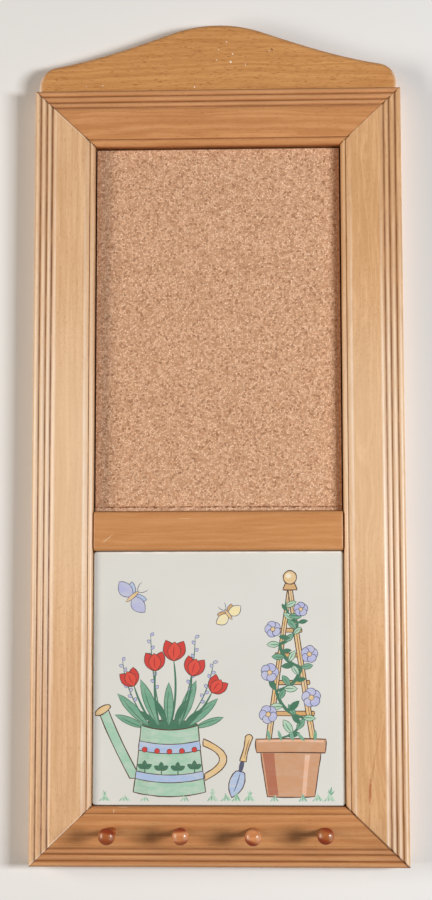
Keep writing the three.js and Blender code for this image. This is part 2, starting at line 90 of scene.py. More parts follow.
# %% [markdown]
# ## A few ways to write nodes
# Every finish below is a small network. Adding one node takes three or four lines of Python, so
# these helpers put a node in, set its sockets by name and join any socket that is given one. They
# write into the tree that was laid on the desk last.

# %% Node helpers
desk = []


def put(kind, **values):
    """Adds a node. Small first letters are settings, capital ones are sockets."""
    node = desk[-1].nodes.new("ShaderNode" + kind)
    for key in filter(str.islower, values):
        setattr(node, key, values[key])
    for key in values:
        if not key.islower():
            feed(node.inputs[key.replace("_", " ")], values[key])
    return node


def feed(socket, value):
    """Joins a socket to another, or sets it to a plain value."""
    if isinstance(value, bpy.types.NodeSocket):
        desk[-1].links.new(value, socket)
    else:
        socket.default_value = value


def calculate(operation, *values):
    node = put("Math", operation=operation)
    for socket, value in zip(node.inputs, values):
        feed(socket, value)
    return node.outputs[0]


def remap(value, low, high, to_low=0.0, to_high=1.0):
    node = put("MapRange", interpolation_type="SMOOTHSTEP", Value=value, From_Min=low, From_Max=high,
               To_Min=to_low, To_Max=to_high)
    return node.outputs["Result"]


def blend(factor, first, second, blend_type="MIX"):
    node = put("Mix", data_type="RGBA", blend_type=blend_type)
    for socket, value in ((node.inputs["Factor"], factor), (node.inputs[6], first), (node.inputs[7], second)):
        feed(socket, value)
    return node.outputs[2]


def placed(turn=(0.0, 0.0, 0.0), scale=(1.0, 1.0, 1.0), shift=(0.0, 0.0, 0.0)):
    """Object coordinates in millimetres, turned, stretched and shifted."""
    coordinates = put("TexCoord").outputs["Object"]
    scale = tuple(share / mm for share in scale)
    return put("Mapping", Vector=coordinates, Rotation=turn, Scale=scale, Location=shift).outputs["Vector"]


def stretched(vector, *shares):
    node = put("VectorMath", operation="MULTIPLY")
    feed(node.inputs[0], vector)
    node.inputs[1].default_value = shares
    return node.outputs["Vector"]


def speckle(vector, scale, detail=2.0, roughness=0.5):
    """Noise, at one scale or at a scale for each axis."""
    if isinstance(scale, tuple):
        vector, scale = stretched(vector, *scale), 1.0
    return put("TexNoise", Vector=vector, Scale=scale, Detail=detail, Roughness=roughness).outputs["Fac"]


def split(kind, **value):
    """The parts of a vector or a colour, by name."""
    return put("Separate" + kind, **value).outputs


def new_material(name, **values):
    """A Principled material. Plain values are set on the shader's own sockets."""
    material = bpy.data.materials.new(name)
    material.use_nodes = True
    desk.append(material.node_tree)
    shader = material.node_tree.nodes["Principled BSDF"]
    for key, value in values.items():
        shader.inputs[key.replace("_", " ")].default_value = value
    return material, shader.inputs


def emboss(look, height, strength, distance, *also):
    """Gives a shader a relief."""
    relief = put("Bump", Height=height, Strength=strength, Distance=distance)
    for name in ("Normal", *also):
        feed(look[name], relief.outputs["Normal"])


def new_group(name, inputs, outputs):
    """A node group. Inputs and outputs are (name, kind) pairs; inputs may add a default."""
    tree = bpy.data.node_groups.new(name, "ShaderNodeTree")
    desk.append(tree)
    for label, kind, *default in inputs:
        socket = tree.interface.new_socket(label, in_out="INPUT", socket_type="NodeSocket" + kind)
        if default:
            socket.default_value = default[0]
    for label, kind in outputs:
        tree.interface.new_socket(label, in_out="OUTPUT", socket_type="NodeSocket" + kind)
    return tree, tree.nodes.new("NodeGroupInput").outputs, tree.nodes.new("NodeGroupOutput").inputs


def use_group(group, **values):
    """The outputs of a node group that is fed with these values."""
    node = put("Group", node_tree=group)
    for key, value in values.items():
        feed(node.inputs[key.replace("_", " ")], value)
    return node.outputs

# %% [markdown]
# ## Hardwood
# Planed beech-like wood shows three things at once: wide soft bands where the growth rings run
# out at the face, fine fibres along the grain, and short dark ray flecks a millimetre or two
# long. The bands come from a distance to the heart of the tree, bent by a slow noise, so they
# wander and close up as real ones do. One group makes all of it, and each board gets its own
# colours, grain direction and piece of the tree.

# %% The hardwood group
hardwood, ins, outs = new_group(
    "hardwood",
    [("Vector", "Vector"), ("Light", "Color"), ("Dark", "Color"), ("Bands", "Float", 0.5), ("Flecks", "Float", 0.3)],
    [("Color", "Color"), ("Height", "Float")],
)
grain = ins["Vector"]
wander = speckle(grain, (0.011, 0.05, 0.05), 3.0)
parts = split("XYZ", Vector=grain)
across = calculate("MULTIPLY_ADD", wander, 26.0, parts["Y"])
depth = calculate("ADD", parts["Z"], 31.0)
heart = calculate("SQRT", calculate("ADD", calculate("POWER", across, 2.0), calculate("POWER", depth, 2.0)))
rings = put("TexNoise", noise_dimensions="1D", W=heart, Scale=0.42, Detail=3.0).outputs["Fac"]
clouds = speckle(grain, (0.02, 0.11, 0.11), 4.0)
streaks = speckle(grain, (0.03, 0.75, 0.75), 3.0, 0.65)
fibres = speckle(grain, (0.10, 2.6, 2.6), 5.0, 0.65)
shade = calculate("MULTIPLY", remap(rings, 0.34, 0.66), ins["Bands"])
for layer, share in ((clouds, 0.35), (streaks, 0.4), (fibres, 0.2)):
    shade = calculate("MULTIPLY_ADD", remap(layer, 0.3, 0.7), share, shade)
tone = blend(shade, ins["Light"], ins["Dark"])
dashes = speckle(grain, (0.32, 1.8, 1.8), 1.0)
rays = calculate("MULTIPLY", remap(dashes, 0.58, 0.72), ins["Flecks"])
darker = blend(1.0, ins["Dark"], (0.55, 0.45, 0.36, 1.0), "MULTIPLY")
feed(outs["Color"], blend(rays, tone, darker))
feed(outs["Height"], calculate("SUBTRACT", fibres, rays))
print("hardwood nodes:", len(hardwood.nodes))

# %% [markdown]
# ## Stain and painted shade in the hollows, wear and painted highlights on the crowns
# Each reed has a thin brown line beside it and a pale crown. The brown lines are partly stain that
# gathers in grooves and corners and partly painted shade, and the pale crowns are partly wear and
# partly painted highlights. Wooden pieces carry two attributes, one for the dark lines and one for
# the pale parts, each between 0 and 1 and worked out from the place of each point. The group turns
# them into colour.

# %% The settled stain group
# Stain darkens grooves and joints, partly as painted shade; Wear makes crowns and edges paler, partly as painted
# highlight.
stain_shade_and_sheen, ins, outs = new_group(
    "settled stain",
    [("Color", "Color"), ("Stain", "Color"), ("Amount", "Float", 0.8), ("Wear", "Float", 0.5)],
    [("Color", "Color")],
)
patches = speckle(placed(scale=(0.06, 0.06, 0.06)), 1.0, 3.0)
uneven = remap(patches, 0.3, 0.62, 0.7, 1.0)
# Darker in grooves and joints: partly stain, partly painted shade.
stain_and_shade = put("Attribute", attribute_name="stain_and_shade").outputs["Fac"]
mask = calculate("MULTIPLY", calculate("POWER", stain_and_shade, 0.8), uneven)
mask = calculate("MULTIPLY", mask, ins["Amount"])
# Paler on crowns and edges: partly wear, partly painted highlight and sheen.
wear_and_highlight = put("Attribute", attribute_name="wear_and_highlight").outputs["Fac"]
wear = calculate("MULTIPLY", calculate("MULTIPLY", wear_and_highlight, ins["Wear"]), uneven)
paler = blend(wear, ins["Color"], (1.0, 0.88, 0.74, 1.0))
feed(outs["Color"], blend(mask, paler, ins["Stain"]))

# %% [markdown]
# ## Small marks
# A used board has its own few marks: a pin knot, a mineral streak, a fleck of paint, a scratch.
# Each is a small oval with a ragged edge, at a place in metres on the object, and since many
# boards have some, the oval is one more group. It reaches only through the board's front, so a
# mark never shows on the back.

# %% The mark group
mark_middle = -14.0 * mm
mark_reach = 10.0 * mm

marking, ins, outs = new_group(
    "small mark",
    [("Color", "Color"), ("Paint", "Color"), ("Place", "Vector"), ("Turn", "Vector"), ("Size", "Vector"),
     ("Strength", "Float", 0.5)],
    [("Color", "Color")],
)
spot = put("Mapping", vector_type="TEXTURE", Location=ins["Place"], Vector=put("TexCoord").outputs["Object"],
           Rotation=ins["Turn"], Scale=ins["Size"]).outputs["Vector"]
reach = put("VectorMath", operation="LENGTH")
feed(reach.inputs[0], spot)
ragged = calculate("MULTIPLY_ADD", speckle(placed(), 1.4, 3.0), 0.8, reach.outputs["Value"])
mask = calculate("MULTIPLY", remap(ragged, 0.7, 1.3, 1.0, 0.0), ins["Strength"])
feed(outs["Color"], blend(mask, ins["Color"], ins["Paint"]))


def add_marks(color, marks):
    """Lays marks on a colour. Each is x and z, length and height, lean in degrees, paint, strength."""
    for x, z, length, height, lean, paint, strength in marks:
        size = (length / 2.0 * mm, mark_reach, height / 2.0 * mm)
        color = use_group(marking, Color=color, Paint=paint, Place=(x * mm, mark_middle, z * mm),
                          Turn=(0.0, math.radians(-lean), 0.0), Size=size, Strength=strength)["Color"]
    return color

# %% [markdown]
# ## Lacquered boards
# All the frame's wood has one clear satin lacquer over it, a coat of its own on the shader. The
# stiles look paler than the rails, since light from both sides falls across their fibres and
# along those of the rails. That sheen is painted into the stiles' own colours here, so that it
# stays when the light changes, and a large pale patch along the middle of each stile is painted
# sheen too.

# %% A lacquered board
quarter_turn = math.radians(90.0)
along_x = (0.0, 0.0, 0.0)
along_y = (0.0, 0.0, quarter_turn)
along_z = (0.0, quarter_turn, 0.0)
# The dark colour of stain and of painted shade.
stain_and_shade_color = (0.16, 0.055, 0.022, 1.0)
lacquer = {"Roughness": 0.6, "Specular_IOR_Level": 0.0, "Coat_Weight": 0.5, "Coat_Roughness": 0.27}


def board(name, light, dark, turn, shift, bands, flecks, marks=(), wear=0.5, tint=stain_and_shade_color, **gloss):
    """A lacquered board with its grain along one axis, cut from its own place in the tree."""
    material, look = new_material(name, **lacquer | gloss)
    figure = use_group(hardwood, Vector=placed(turn, shift=shift), Light=light, Dark=dark, Bands=bands, Flecks=flecks)
    color = add_marks(figure["Color"], marks)
    feed(look["Base Color"], use_group(stain_shade_and_sheen, Color=color, Stain=tint, Amount=1.0, Wear=wear)["Color"])
    emboss(look, figure["Height"], 0.25, 0.1 * mm)
    return material

# %% The boards and their marks
chalk = (0.95, 0.90, 0.80, 1.0)
pale_scratch = (0.82, 0.60, 0.38, 1.0)
bark = (0.05, 0.02, 0.01, 1.0)
rust_red = (0.40, 0.13, 0.055, 1.0)
tan_streak = (0.52, 0.27, 0.12, 1.0)
painted_sheen_patch = (0.88, 0.66, 0.45, 1.0)

# The first mark on each stile is a painted sheen: a large pale patch along its middle.
left_marks = [(-95.0, -215.0, 290.0, 110.0, 90.0, painted_sheen_patch, 0.38)]
right_marks = [
    (95.0, -220.0, 310.0, 110.0, 90.0, painted_sheen_patch, 0.33),
    (95.3, -386.0, 26.0, 1.6, 79.0, tan_streak, 0.8), (92.6, -400.0, 26.0, 2.0, 82.0, tan_streak, 1.0),
    (90.6, -413.2, 24.0, 2.6, 87.0, rust_red, 0.9), (89.9, -430.0, 26.0, 1.8, 88.0, tan_streak, 1.0),
]
crest_marks = [
    (8.3, 36.5, 1.9, 1.9, 0.0, chalk, 1.0), (0.7, 44.4, 1.3, 1.1, 30.0, chalk, 0.8),
    (5.7, 49.5, 1.3, 1.3, 0.0, chalk, 0.75), (9.5, 41.7, 1.5, 1.5, 0.0, chalk, 0.8),
    (-0.5, 38.0, 1.4, 1.2, 0.0, chalk, 0.7), (17.6, 34.7, 1.0, 2.4, 0.0, chalk, 0.5),
    (-14.4, 20.6, 1.5, 1.3, 0.0, chalk, 0.8), (-72.2, 22.2, 1.9, 1.1, 20.0, chalk, 0.5),
    (-82.3, 21.7, 1.2, 1.2, 0.0, chalk, 0.35), (34.2, 44.2, 2.6, 1.2, -50.0, bark, 1.0),
    (32.4, 43.2, 1.6, 0.9, 40.0, chalk, 0.5), (-44.0, 40.5, 1.6, 1.0, 20.0, bark, 0.6),
    (-45.0, 54.0, 3.5, 0.7, 12.0, bark, 0.5), (-36.0, 56.5, 4.5, 0.7, 15.0, bark, 0.4),
]
rail_marks = [(-62.7, -425.8, 0.9, 3.6, 0.0, pale_scratch, 0.7), (-57.0, -423.5, 9.0, 0.6, 0.0, pale_scratch, 0.5)]
divider_marks = [
    (-67.0, -262.6, 11.5, 0.6, 43.0, pale_scratch, 0.8), (-69.5, -264.0, 8.0, 0.5, 38.0, pale_scratch, 0.5),
    (-20.0, -250.5, 12.0, 0.6, 2.0, pale_scratch, 0.5), (44.0, -256.0, 9.0, 0.7, -3.0, tan_streak, 0.4),
]

# The stiles' colours are paler than the rails' to carry a painted sheen.
left_wood = board("left stile wood", (0.80, 0.524, 0.305, 1), (0.637, 0.376, 0.199, 1), along_z, (12, 40, 3),
                  0.4, 0.3, left_marks, 0.75)
right_wood = board("right stile wood", (0.741, 0.447, 0.2335, 1), (0.585, 0.322, 0.149, 1), along_z, (90, -75, 8),
                   0.5, 0.3, right_marks, 0.6)
top_wood = board("top rail wood", (0.662, 0.326, 0.139, 1), (0.50, 0.217, 0.079, 1), along_x, (30, 22, 5), 0.5, 0.3)
bottom_wood = board("bottom rail wood", (0.612, 0.307, 0.129, 1), (0.473, 0.203, 0.074, 1), along_x, (200, 70, 9),
                    0.6, 0.2, rail_marks)
divider_wood = board("divider wood", (0.61, 0.304, 0.126, 1), (0.496, 0.218, 0.078, 1), along_x, (-90, 140, 2),
                     0.4, 0.15, divider_marks)
crest_wood = board("crest wood", (0.652, 0.329, 0.120, 1), (0.491, 0.220, 0.071, 1), along_x, (60, -40, 12),
                   0.4, 0.55, crest_marks, 0.8)

# %% [markdown]
# ## Working on a mesh
# A few steps come back for every piece: going in and out of edit mode, choosing some of its edges,
# rounding them, writing an attribute from the place of each point, and the last step that gives
# a piece its shading, its finish and its place. Its flat faces stay flat beside rounded edges,
# because the normals are weighted by area.

# %% Mesh helpers
smooth_limit = math.radians(32.0)
hair = 0.01 * mm
weld_gap = 0.001 * mm


def only(piece):
    """Makes one object the whole selection."""
    bpy.ops.object.select_all(action="DESELECT")
    piece.select_set(True)
    bpy.context.view_layer.objects.active = piece


def add_object(name, mesh):
    piece = bpy.data.objects.new(name, mesh)
    bpy.context.collection.objects.link(piece)
    return piece


def bake_place():
    """Moves the active object's own place, turn and scale into its mesh."""
    bpy.ops.object.transform_apply(location=True, rotation=True, scale=True)


def coat(piece, material):
    piece.data.materials.clear()
    piece.data.materials.append(material)


def enter(mode):
    bpy.ops.object.mode_set(mode=mode)


def select_all(action="SELECT"):
    bpy.ops.mesh.select_all(action=action)


def outward():
    """Turns all the normals of the mesh in edit mode outwards."""
    select_all()
    bpy.ops.mesh.normals_make_consistent(inside=False)


def select_where(kind, test):
    """Selects the edges or faces of the mesh in edit mode that pass a test."""
    bpy.ops.mesh.select_mode(type=kind)
    select_all("DESELECT")
    mesh = bmesh.from_edit_mesh(bpy.context.object.data)
    for part in mesh.edges if kind == "EDGE" else mesh.faces:
        part.select_set(test(part))
    bmesh.update_edit_mesh(bpy.context.object.data)


def round_edges(offset, segments, test):
    """Rounds the edges whose two ends pass a test."""
    select_where("EDGE", lambda edge: test(edge.verts[0].co, edge.verts[1].co))
    bpy.ops.mesh.bevel(offset=offset, segments=segments, profile=0.5, affect="EDGES")


def cut_across(height):
    """Cuts the mesh in edit mode along a level line, which gives it more points."""
    select_all()
    bpy.ops.mesh.bisect(plane_co=(0.0, 0.0, height), plane_no=(0.0, 0.0, 1.0))


def write_attribute(piece, name, value_at):
    """Stores a value for each point, worked out from its place."""
    values = [value_at(vertex.co) for vertex in piece.data.vertices]
    piece.data.attributes.new(name, "FLOAT", "POINT").data.foreach_set("value", values)


def finish_piece(piece, material, slot, *replaced):
    """Shades a piece smooth but for its sharp edges, gives it its finish and its place."""
    only(piece)
    bpy.ops.object.shade_smooth_by_angle(angle=smooth_limit)
    coat(piece, material)
    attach(piece, "root")
    piece.modifiers.new("flat faces stay flat", "WEIGHTED_NORMAL").keep_sharp = True
    if replaced:
        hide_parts(*replaced)
    print(piece.name, "faces:", len(piece.data.polygons))

# %% [markdown]
# ## Drawing a section
# A moulding is one section run along a length. It could be cut from a block groove by groove,
# but drawing the section with true arcs and then extruding it is how a spindle cutter works:
# one vertex is extruded for each straight run and spun about a centre for each round.

# %% A pen for sections
pen = Vector((0.0, 0.0, 0.0))


def start_section(name, x, y):
    """Leaves one vertex in edit mode, at x in from the edge and y out from the back."""
    bpy.ops.object.select_all(action="DESELECT")
    bpy.ops.mesh.primitive_plane_add(size=mm)
    bpy.context.object.name = name
    enter("EDIT")
    bpy.ops.mesh.select_mode(type="VERT")
    select_all()
    bpy.ops.mesh.merge(type="CENTER")
    pen.xyz = x, -y, 0.0
    bpy.ops.transform.translate(value=pen)


def straight_to(x, y):
    target = Vector((x, -y, 0.0))
    bpy.ops.mesh.extrude_region_move(TRANSFORM_OT_translate={"value": target - pen})
    pen.xyz = target


def arc_about(x, y, angle, steps):
    """Spins the pen about a centre, from the back towards the face. The operator turns clockwise."""
    centre = Vector((x, -y, 0.0))
    bpy.ops.mesh.spin(steps=steps, angle=-angle, center=centre, axis=(0.0, 0.0, 1.0))
    pen.xyz = Matrix.Rotation(angle, 3, "Z") @ (pen - centre) + centre


def oval_about(x, y, width, height, start, end, steps):
    """Runs along an oval, its angles counted from the side towards the face."""
    for step in range(1, steps + 1):
        angle = start + (end - start) * step / steps
        straight_to(x + width * math.cos(angle), y + height * math.sin(angle))


def close_section():
    select_all()
    bpy.ops.mesh.remove_doubles(threshold=weld_gap)
    bpy.ops.mesh.edge_face_add()

# %% [markdown]
# ## The frame's moulding
# From the outer edge in, the face has a quarter-round reed, two flat reeds, a wide flat field
# and, past a fine quirk, a bead at the sight edge. Behind the bead is the rabbet for the panel.
# The grooves beside the reeds are equally deep, so the radii follow from the reeds' widths. A
# straight slope leads from the last groove up to the field and another from the field down to the
# quirk, and the arrises between them are worn round. The section has a point at the reach of each
# dark line and each pale strip, where the colour has to stop. The dark lines are stain and painted
# shade, the pale strips wear and painted highlights.

# %% Sizes of the moulding
stile_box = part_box("left_stile")
frame_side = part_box("right_stile")[1].x
frame_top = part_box("top_rail")[1].z
frame_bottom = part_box("bottom_rail")[0].z
stile_width = stile_box[1].x - stile_box[0].x
rail_width = frame_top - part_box("top_rail")[0].z
thickness = -stile_box[0].y

outer_reed = 3.75 * mm
reed_widths = [3.85 * mm, 3.35 * mm]
groove_depth = 0.87 * mm
field_slope = 2.1 * mm
inner_slope = 2.7 * mm
inner_drop = 0.8 * mm
arris_radius = 1.8 * mm
# Reach of the pale strip beside each arris: wear and painted highlight.
pale_strip = 0.8 * mm
dark_line_reach = 1.0 * mm
quirk_reach = 0.5 * mm
stile_bead = 3.0 * mm
rail_bead = 4.3 * mm
bead_drop = 0.5 * mm
quirk_depth = 1.2 * mm
back_chamfer = 0.8 * mm
rabbet_width = 6.5 * mm
rabbet_depth = 6.0 * mm
mitre_gap = 0.16 * mm
seam_width = 0.8 * mm
print("moulding:", round(stile_width / mm, 2), round(rail_width / mm, 2), round(thickness / mm, 2))


# %% Draw the section
def round_radius(width, drop):
    """The radius that touches the side and the face, and meets a groove this far in and down."""
    return width + drop - math.sqrt(2.0 * width * drop)


def round_arris(width, drop):
    """The angle of a slope beside the field, and how far the round on its arris reaches."""
    slope = math.atan(drop / width)
    return slope, arris_radius * math.tan(slope / 2.0)


def draw_moulding(name, width, bead_width):
    start_section(name, back_chamfer, 0.0)
    straight_to(0.0, back_chamfer)
    radius = round_radius(outer_reed, groove_depth)
    straight_to(0.0, thickness - radius)
    arc_about(radius, thickness - radius, math.pi - math.acos((outer_reed - radius) / radius), 16)
    groove = outer_reed
    for reed_width in reed_widths:
        radius = (reed_width ** 2 / 4.0 + groove_depth ** 2) / (2.0 * groove_depth)
        arc_about(groove + reed_width / 2.0, thickness - radius, 2.0 * math.asin(reed_width / 2.0 / radius), 12)
        groove += reed_width
    slope, round_width = round_arris(field_slope, groove_depth)
    field = groove + field_slope + round_width
    straight_to(groove + dark_line_reach, thickness - groove_depth + dark_line_reach * math.tan(slope))
    straight_to(field - arris_radius * math.sin(slope), thickness - arris_radius * (1.0 - math.cos(slope)))
    arc_about(field, thickness - arris_radius, slope, 5)
    straight_to(field + pale_strip, thickness)
    quirk = width - bead_width
    slope, round_width = round_arris(inner_slope, inner_drop)
    field = quirk - inner_slope - round_width
    straight_to(field - pale_strip, thickness)
    straight_to(field, thickness)
    arc_about(field, thickness - arris_radius, slope, 5)
    straight_to(quirk - quirk_reach, thickness - inner_drop + quirk_reach * math.tan(slope))
    straight_to(quirk, thickness - inner_drop)
    straight_to(quirk, thickness - quirk_depth)
    radius = round_radius(bead_width, quirk_depth - bead_drop)
    arc_about(width - radius, thickness - bead_drop - radius,
              math.pi - math.acos((bead_width - radius) / radius), 16)
    straight_to(width, rabbet_depth)
    straight_to(width - rabbet_width, rabbet_depth)
    straight_to(width - rabbet_width, 0.0)
    close_section()

# %% [markdown]
# ## Mitring the members
# The section is extruded to the full length and each end is cut off with a bisect. Another bisect
# just inside it marks how far the dark line of the joint reaches, and on the stiles the wear and
# painted highlight of the cut edge. The rails are a little narrower than the stiles, so the cut runs
# from the outer corner to the inner corner and every reed still meets its neighbour.

# %% Cut a member to length
def mitred_member(name, width, bead, mate_width, length, turn, middle):
    """One side of the frame, its outer edge through middle and its length turned about the Y axis."""
    draw_moulding(name, width, bead)
    bpy.ops.transform.translate(value=(0.0, 0.0, -length / 2.0))
    bpy.ops.mesh.extrude_region_move(TRANSFORM_OT_translate={"value": (0.0, 0.0, length)})
    outward()
    for end in (-1.0, 1.0):
        away = Vector((mate_width, 0.0, end * width)).normalized()
        spot = Vector((0.0, 0.0, end * length / 2.0)) - away * mitre_gap / 2.0
        select_all()
        bpy.ops.mesh.bisect(plane_co=spot - away * seam_width, plane_no=away)
        select_all()
        bpy.ops.mesh.bisect(plane_co=spot, plane_no=away, use_fill=True, clear_outer=True)
    enter("OBJECT")
    piece = bpy.context.object
    piece.matrix_world = Matrix.Translation(middle) @ Matrix.Rotation(turn, 4, "Y")
    bake_place()
    return piece


frame_height = frame_top - frame_bottom
frame_middle = (frame_top + frame_bottom) / 2.0
stile_size = (stile_width, stile_bead, rail_width, frame_height)
rail_size = (rail_width, rail_bead, stile_width, 2.0 * frame_side)
left_stile = mitred_member("fine_left_stile", *stile_size, 0.0, Vector((-frame_side, 0.0, frame_middle)))
right_stile = mitred_member("fine_right_stile", *stile_size, math.pi, Vector((frame_side, 0.0, frame_middle)))
top_rail = mitred_member("fine_top_rail", *rail_size, math.pi / 2.0, Vector((0.0, 0.0, frame_top)))
bottom_rail = mitred_member("fine_bottom_rail", *rail_size, -math.pi / 2.0, Vector((0.0, 0.0, frame_bottom)))

# %% [markdown]
# ## Slots for the corner wedges
# Each steel wedge is driven into a slot of its own from the back, a little below the surface. A
# copy of the wedge, grown by a hair and drawn out past the back, cuts the slot.

# %% Cut the slots
slot_room = 0.17 * mm
slot_over = 0.6 * mm
driven_end = -1.5 * mm


def slot_cutter(wedge):
    cutter = add_object("slot", wedge.data.copy())
    cutter.data.transform(wedge.matrix_world)
    solid = bmesh.new()
    solid.from_mesh(cutter.data)
    bmesh.ops.remove_doubles(solid, verts=solid.verts, dist=weld_gap)
    solid.normal_update()
    for vertex, out in [(vertex, vertex.normal.copy()) for vertex in solid.verts]:
        vertex.co += out * slot_room
        if vertex.co.y > driven_end:
            vertex.co.y = slot_over
    solid.to_mesh(cutter.data)
    solid.free()
    return cutter


cutters = [slot_cutter(nodes[name]) for name in nodes if "wedge" in name]
only(cutters[0])
for cutter in cutters:
    cutter.select_set(True)
bpy.ops.object.join()
slots = bpy.context.object
for member in (left_stile, right_stile, top_rail, bottom_rail):
    only(member)
    cut = member.modifiers.new("slots", "BOOLEAN")
    cut.operation = "DIFFERENCE"
    cut.solver = "EXACT"
    cut.object = slots
    bpy.ops.object.modifier_apply(modifier=cut.name)
    print(member.name, "vertices with its slots:", len(member.data.vertices))
bpy.data.objects.remove(slots)

# %% [markdown]
# ## Pale strips along the height
# The pale crowns and arrises, partly wear and partly painted highlights and sheen, are strongest
# along the middle of the frame and keep their colour near the corners. Each list gives heights in
# millimetres and the share of the paleness at each. The stiles are cut across at heights like those,
# so that the paleness has points to vary between.

# %% The shares of wear along the height
# Shares of the paleness, wear and painted highlight, along the height.
even = [(0.0, 1.0), (-450.0, 1.0)]
left_outer = [(-10.0, 0.37), (-90.0, 0.66), (-150.0, 0.83), (-200.0, 0.83), (-310.0, 0.66), (-380.0, 0.08),
              (-430.0, 0.0)]
left_inner = [(-10.0, 0.05), (-90.0, 0.45), (-150.0, 0.6), (-200.0, 0.95), (-390.0, 1.0), (-430.0, 0.6)]
right_outer = [(-30.0, 0.1), (-90.0, 0.5), (-150.0, 1.0), (-430.0, 1.0)]
right_inner = [(-30.0, 0.05), (-90.0, 0.6), (-150.0, 0.9), (-200.0, 1.0), (-310.0, 0.5), (-430.0, 0.7)]


def height_share(z, height_shares=even):
    """Interpolates a list of heights and shares."""
    if z / mm >= height_shares[0][0]:
        return height_shares[0][1]
    for (high, first), (low, second) in zip(height_shares, height_shares[1:]):
        if z / mm >= low:
            return first + (second - first) * (high - z / mm) / (high - low)
    return height_shares[-1][1]


for stile in (left_stile, right_stile):
    only(stile)
    enter("EDIT")
    for height in (-30.0, -90.0, -150.0, -200.0, -310.0, -380.0, -430.0):
        cut_across(height * mm)
    enter("OBJECT")

# %% [markdown]
# ## Dark grooves and pale crowns
# The dark lines, stain with painted shade, are deepest in a groove, and the pale strips, wear with
# painted highlights, are strongest on a crown; both thin out to the sides. So each is a set of lines
# along the member: a distance in from its outer edge, an amount, and a reach. The mitres have dark
# lines and pale edges of their own: the open joint at the bottom right is dark, the tight one at the
# top right barely shows, and the stiles' cut edges are pale with wear and a painted highlight.

# %% Stain the grooves and rub the crowns
grooves = [outer_reed, outer_reed + reed_widths[0], outer_reed + sum(reed_widths)]
outer_crown = 0.45 * outer_reed
bead_crown = 0.55 * stile_bead
reed_crowns = [outer_crown, (grooves[0] + grooves[1]) / 2.0, (grooves[1] + grooves[2]) / 2.0]
stile_quirk = stile_width - stile_bead
rail_quirk = rail_width - rail_bead
crown_reach = 1.1 * mm
rail_dark_line_reach = 0.8 * mm
corners = ("top left", "top right", "bottom left", "bottom right")
rail_stain = dict(zip(corners, (0.45, 0.1, 0.1, 1.0)))
stile_stain = dict(zip(corners, (0.0, 0.0, 0.0, 0.7)))
# The stiles' cut edges are paler at the mitres: partly wear, partly painted highlight.
stile_edge_highlight_and_wear = dict(zip(corners, (0.5, 0.1, 0.9, 0.0)))
rail_edge_highlight_and_wear = dict.fromkeys(corners, 0.0)


def from_side(co):
    return frame_side - abs(co.x)


def at_mitre(co, shares):
    """The share of the corner that a point of a cut end lies at, and 0 for any other point."""
    inward = from_side(co)
    upright = min(frame_top - co.z, co.z - frame_bottom)
    off = abs(inward * rail_width - upright * stile_width) / math.hypot(rail_width, stile_width)
    corner = ("bottom " if co.z < frame_middle else "top ") + ("left" if co.x < 0.0 else "right")
    return shares[corner] if off < mitre_gap else 0.0


def draw_lines(member, name, inward, lines, shares):
    """Writes an attribute on a member's front. A line is (place, amount, reach), with shares along the height or not.
    """
    def value_at(co):
        if co.y >= -0.5 * thickness:
            return 0.0
        on_lines = max(amount * height_share(co.z, *height_shares) * (1.0 - abs(inward(co) - line) / reach)
                       for line, amount, reach, *height_shares in lines)
        return max(0.0, on_lines, at_mitre(co, shares))

    write_attribute(member, name, value_at)


for stile, third, bead_highlight_and_wear, outer, inner in ((left_stile, 1.0, 0.7, left_outer, left_inner),
                                              (right_stile, 0.75, 0.35, right_outer, right_inner)):
    # Dark lines in the grooves and the quirk: partly stain, partly painted shade.
    dark_lines = [(grooves[0], 0.75, dark_line_reach), (grooves[1], 0.75, dark_line_reach), (grooves[2], third, dark_line_reach),
              (stile_quirk, 0.75, quirk_reach)]
    # Pale strips on the crowns, arrises and bead: partly wear, partly painted highlights and sheen.
    crowns = [(crown, 1.0, crown_reach, outer) for crown in reed_crowns + [grooves[2] + field_slope]]
    crowns += [(stile_quirk - inner_slope, 1.0, crown_reach, inner),
               (stile_quirk + bead_crown, bead_highlight_and_wear, crown_reach, inner)]
    draw_lines(stile, "stain_and_shade", from_side, dark_lines, stile_stain)
    draw_lines(stile, "wear_and_highlight", from_side, crowns, stile_edge_highlight_and_wear)
# The top rail's top edge, where the crest sits on it, gets a dark line: a painted shadow.
for rail, inward, edges in ((top_rail, lambda co: frame_top - co.z, [0.0]),
                            (bottom_rail, lambda co: co.z - frame_bottom, [])):
    dark_lines = [(line, 0.7, rail_dark_line_reach) for line in edges + grooves] + [(rail_quirk, 0.55, quirk_reach)]
    draw_lines(rail, "stain_and_shade", inward, dark_lines, rail_stain)
    draw_lines(rail, "wear_and_highlight", inward, [(crown, 0.15, crown_reach) for crown in reed_crowns], rail_edge_highlight_and_wear)
finish_piece(left_stile, left_wood, "stile_wood", "left_stile")
finish_piece(right_stile, right_wood, "stile_wood", "right_stile")
finish_piece(top_rail, top_wood, "rail_wood", "top_rail")
finish_piece(bottom_rail, bottom_wood, "rail_wood", "bottom_rail")

# %% [markdown]
# ## The crest board
# Its outline is drawn as one Bezier curve, as a maker would draw the template: straight ends,
# round shoulders, hollow flanks and a round crown. The curve becomes a face, the face a board,
# and the front edge is rounded over with a bevel all the way but along the bottom. A dark line
# along its foot is a painted shadow where it sits on the top rail, and its rounded edge is painted
# pale where it turns down at both ends, a painted highlight.

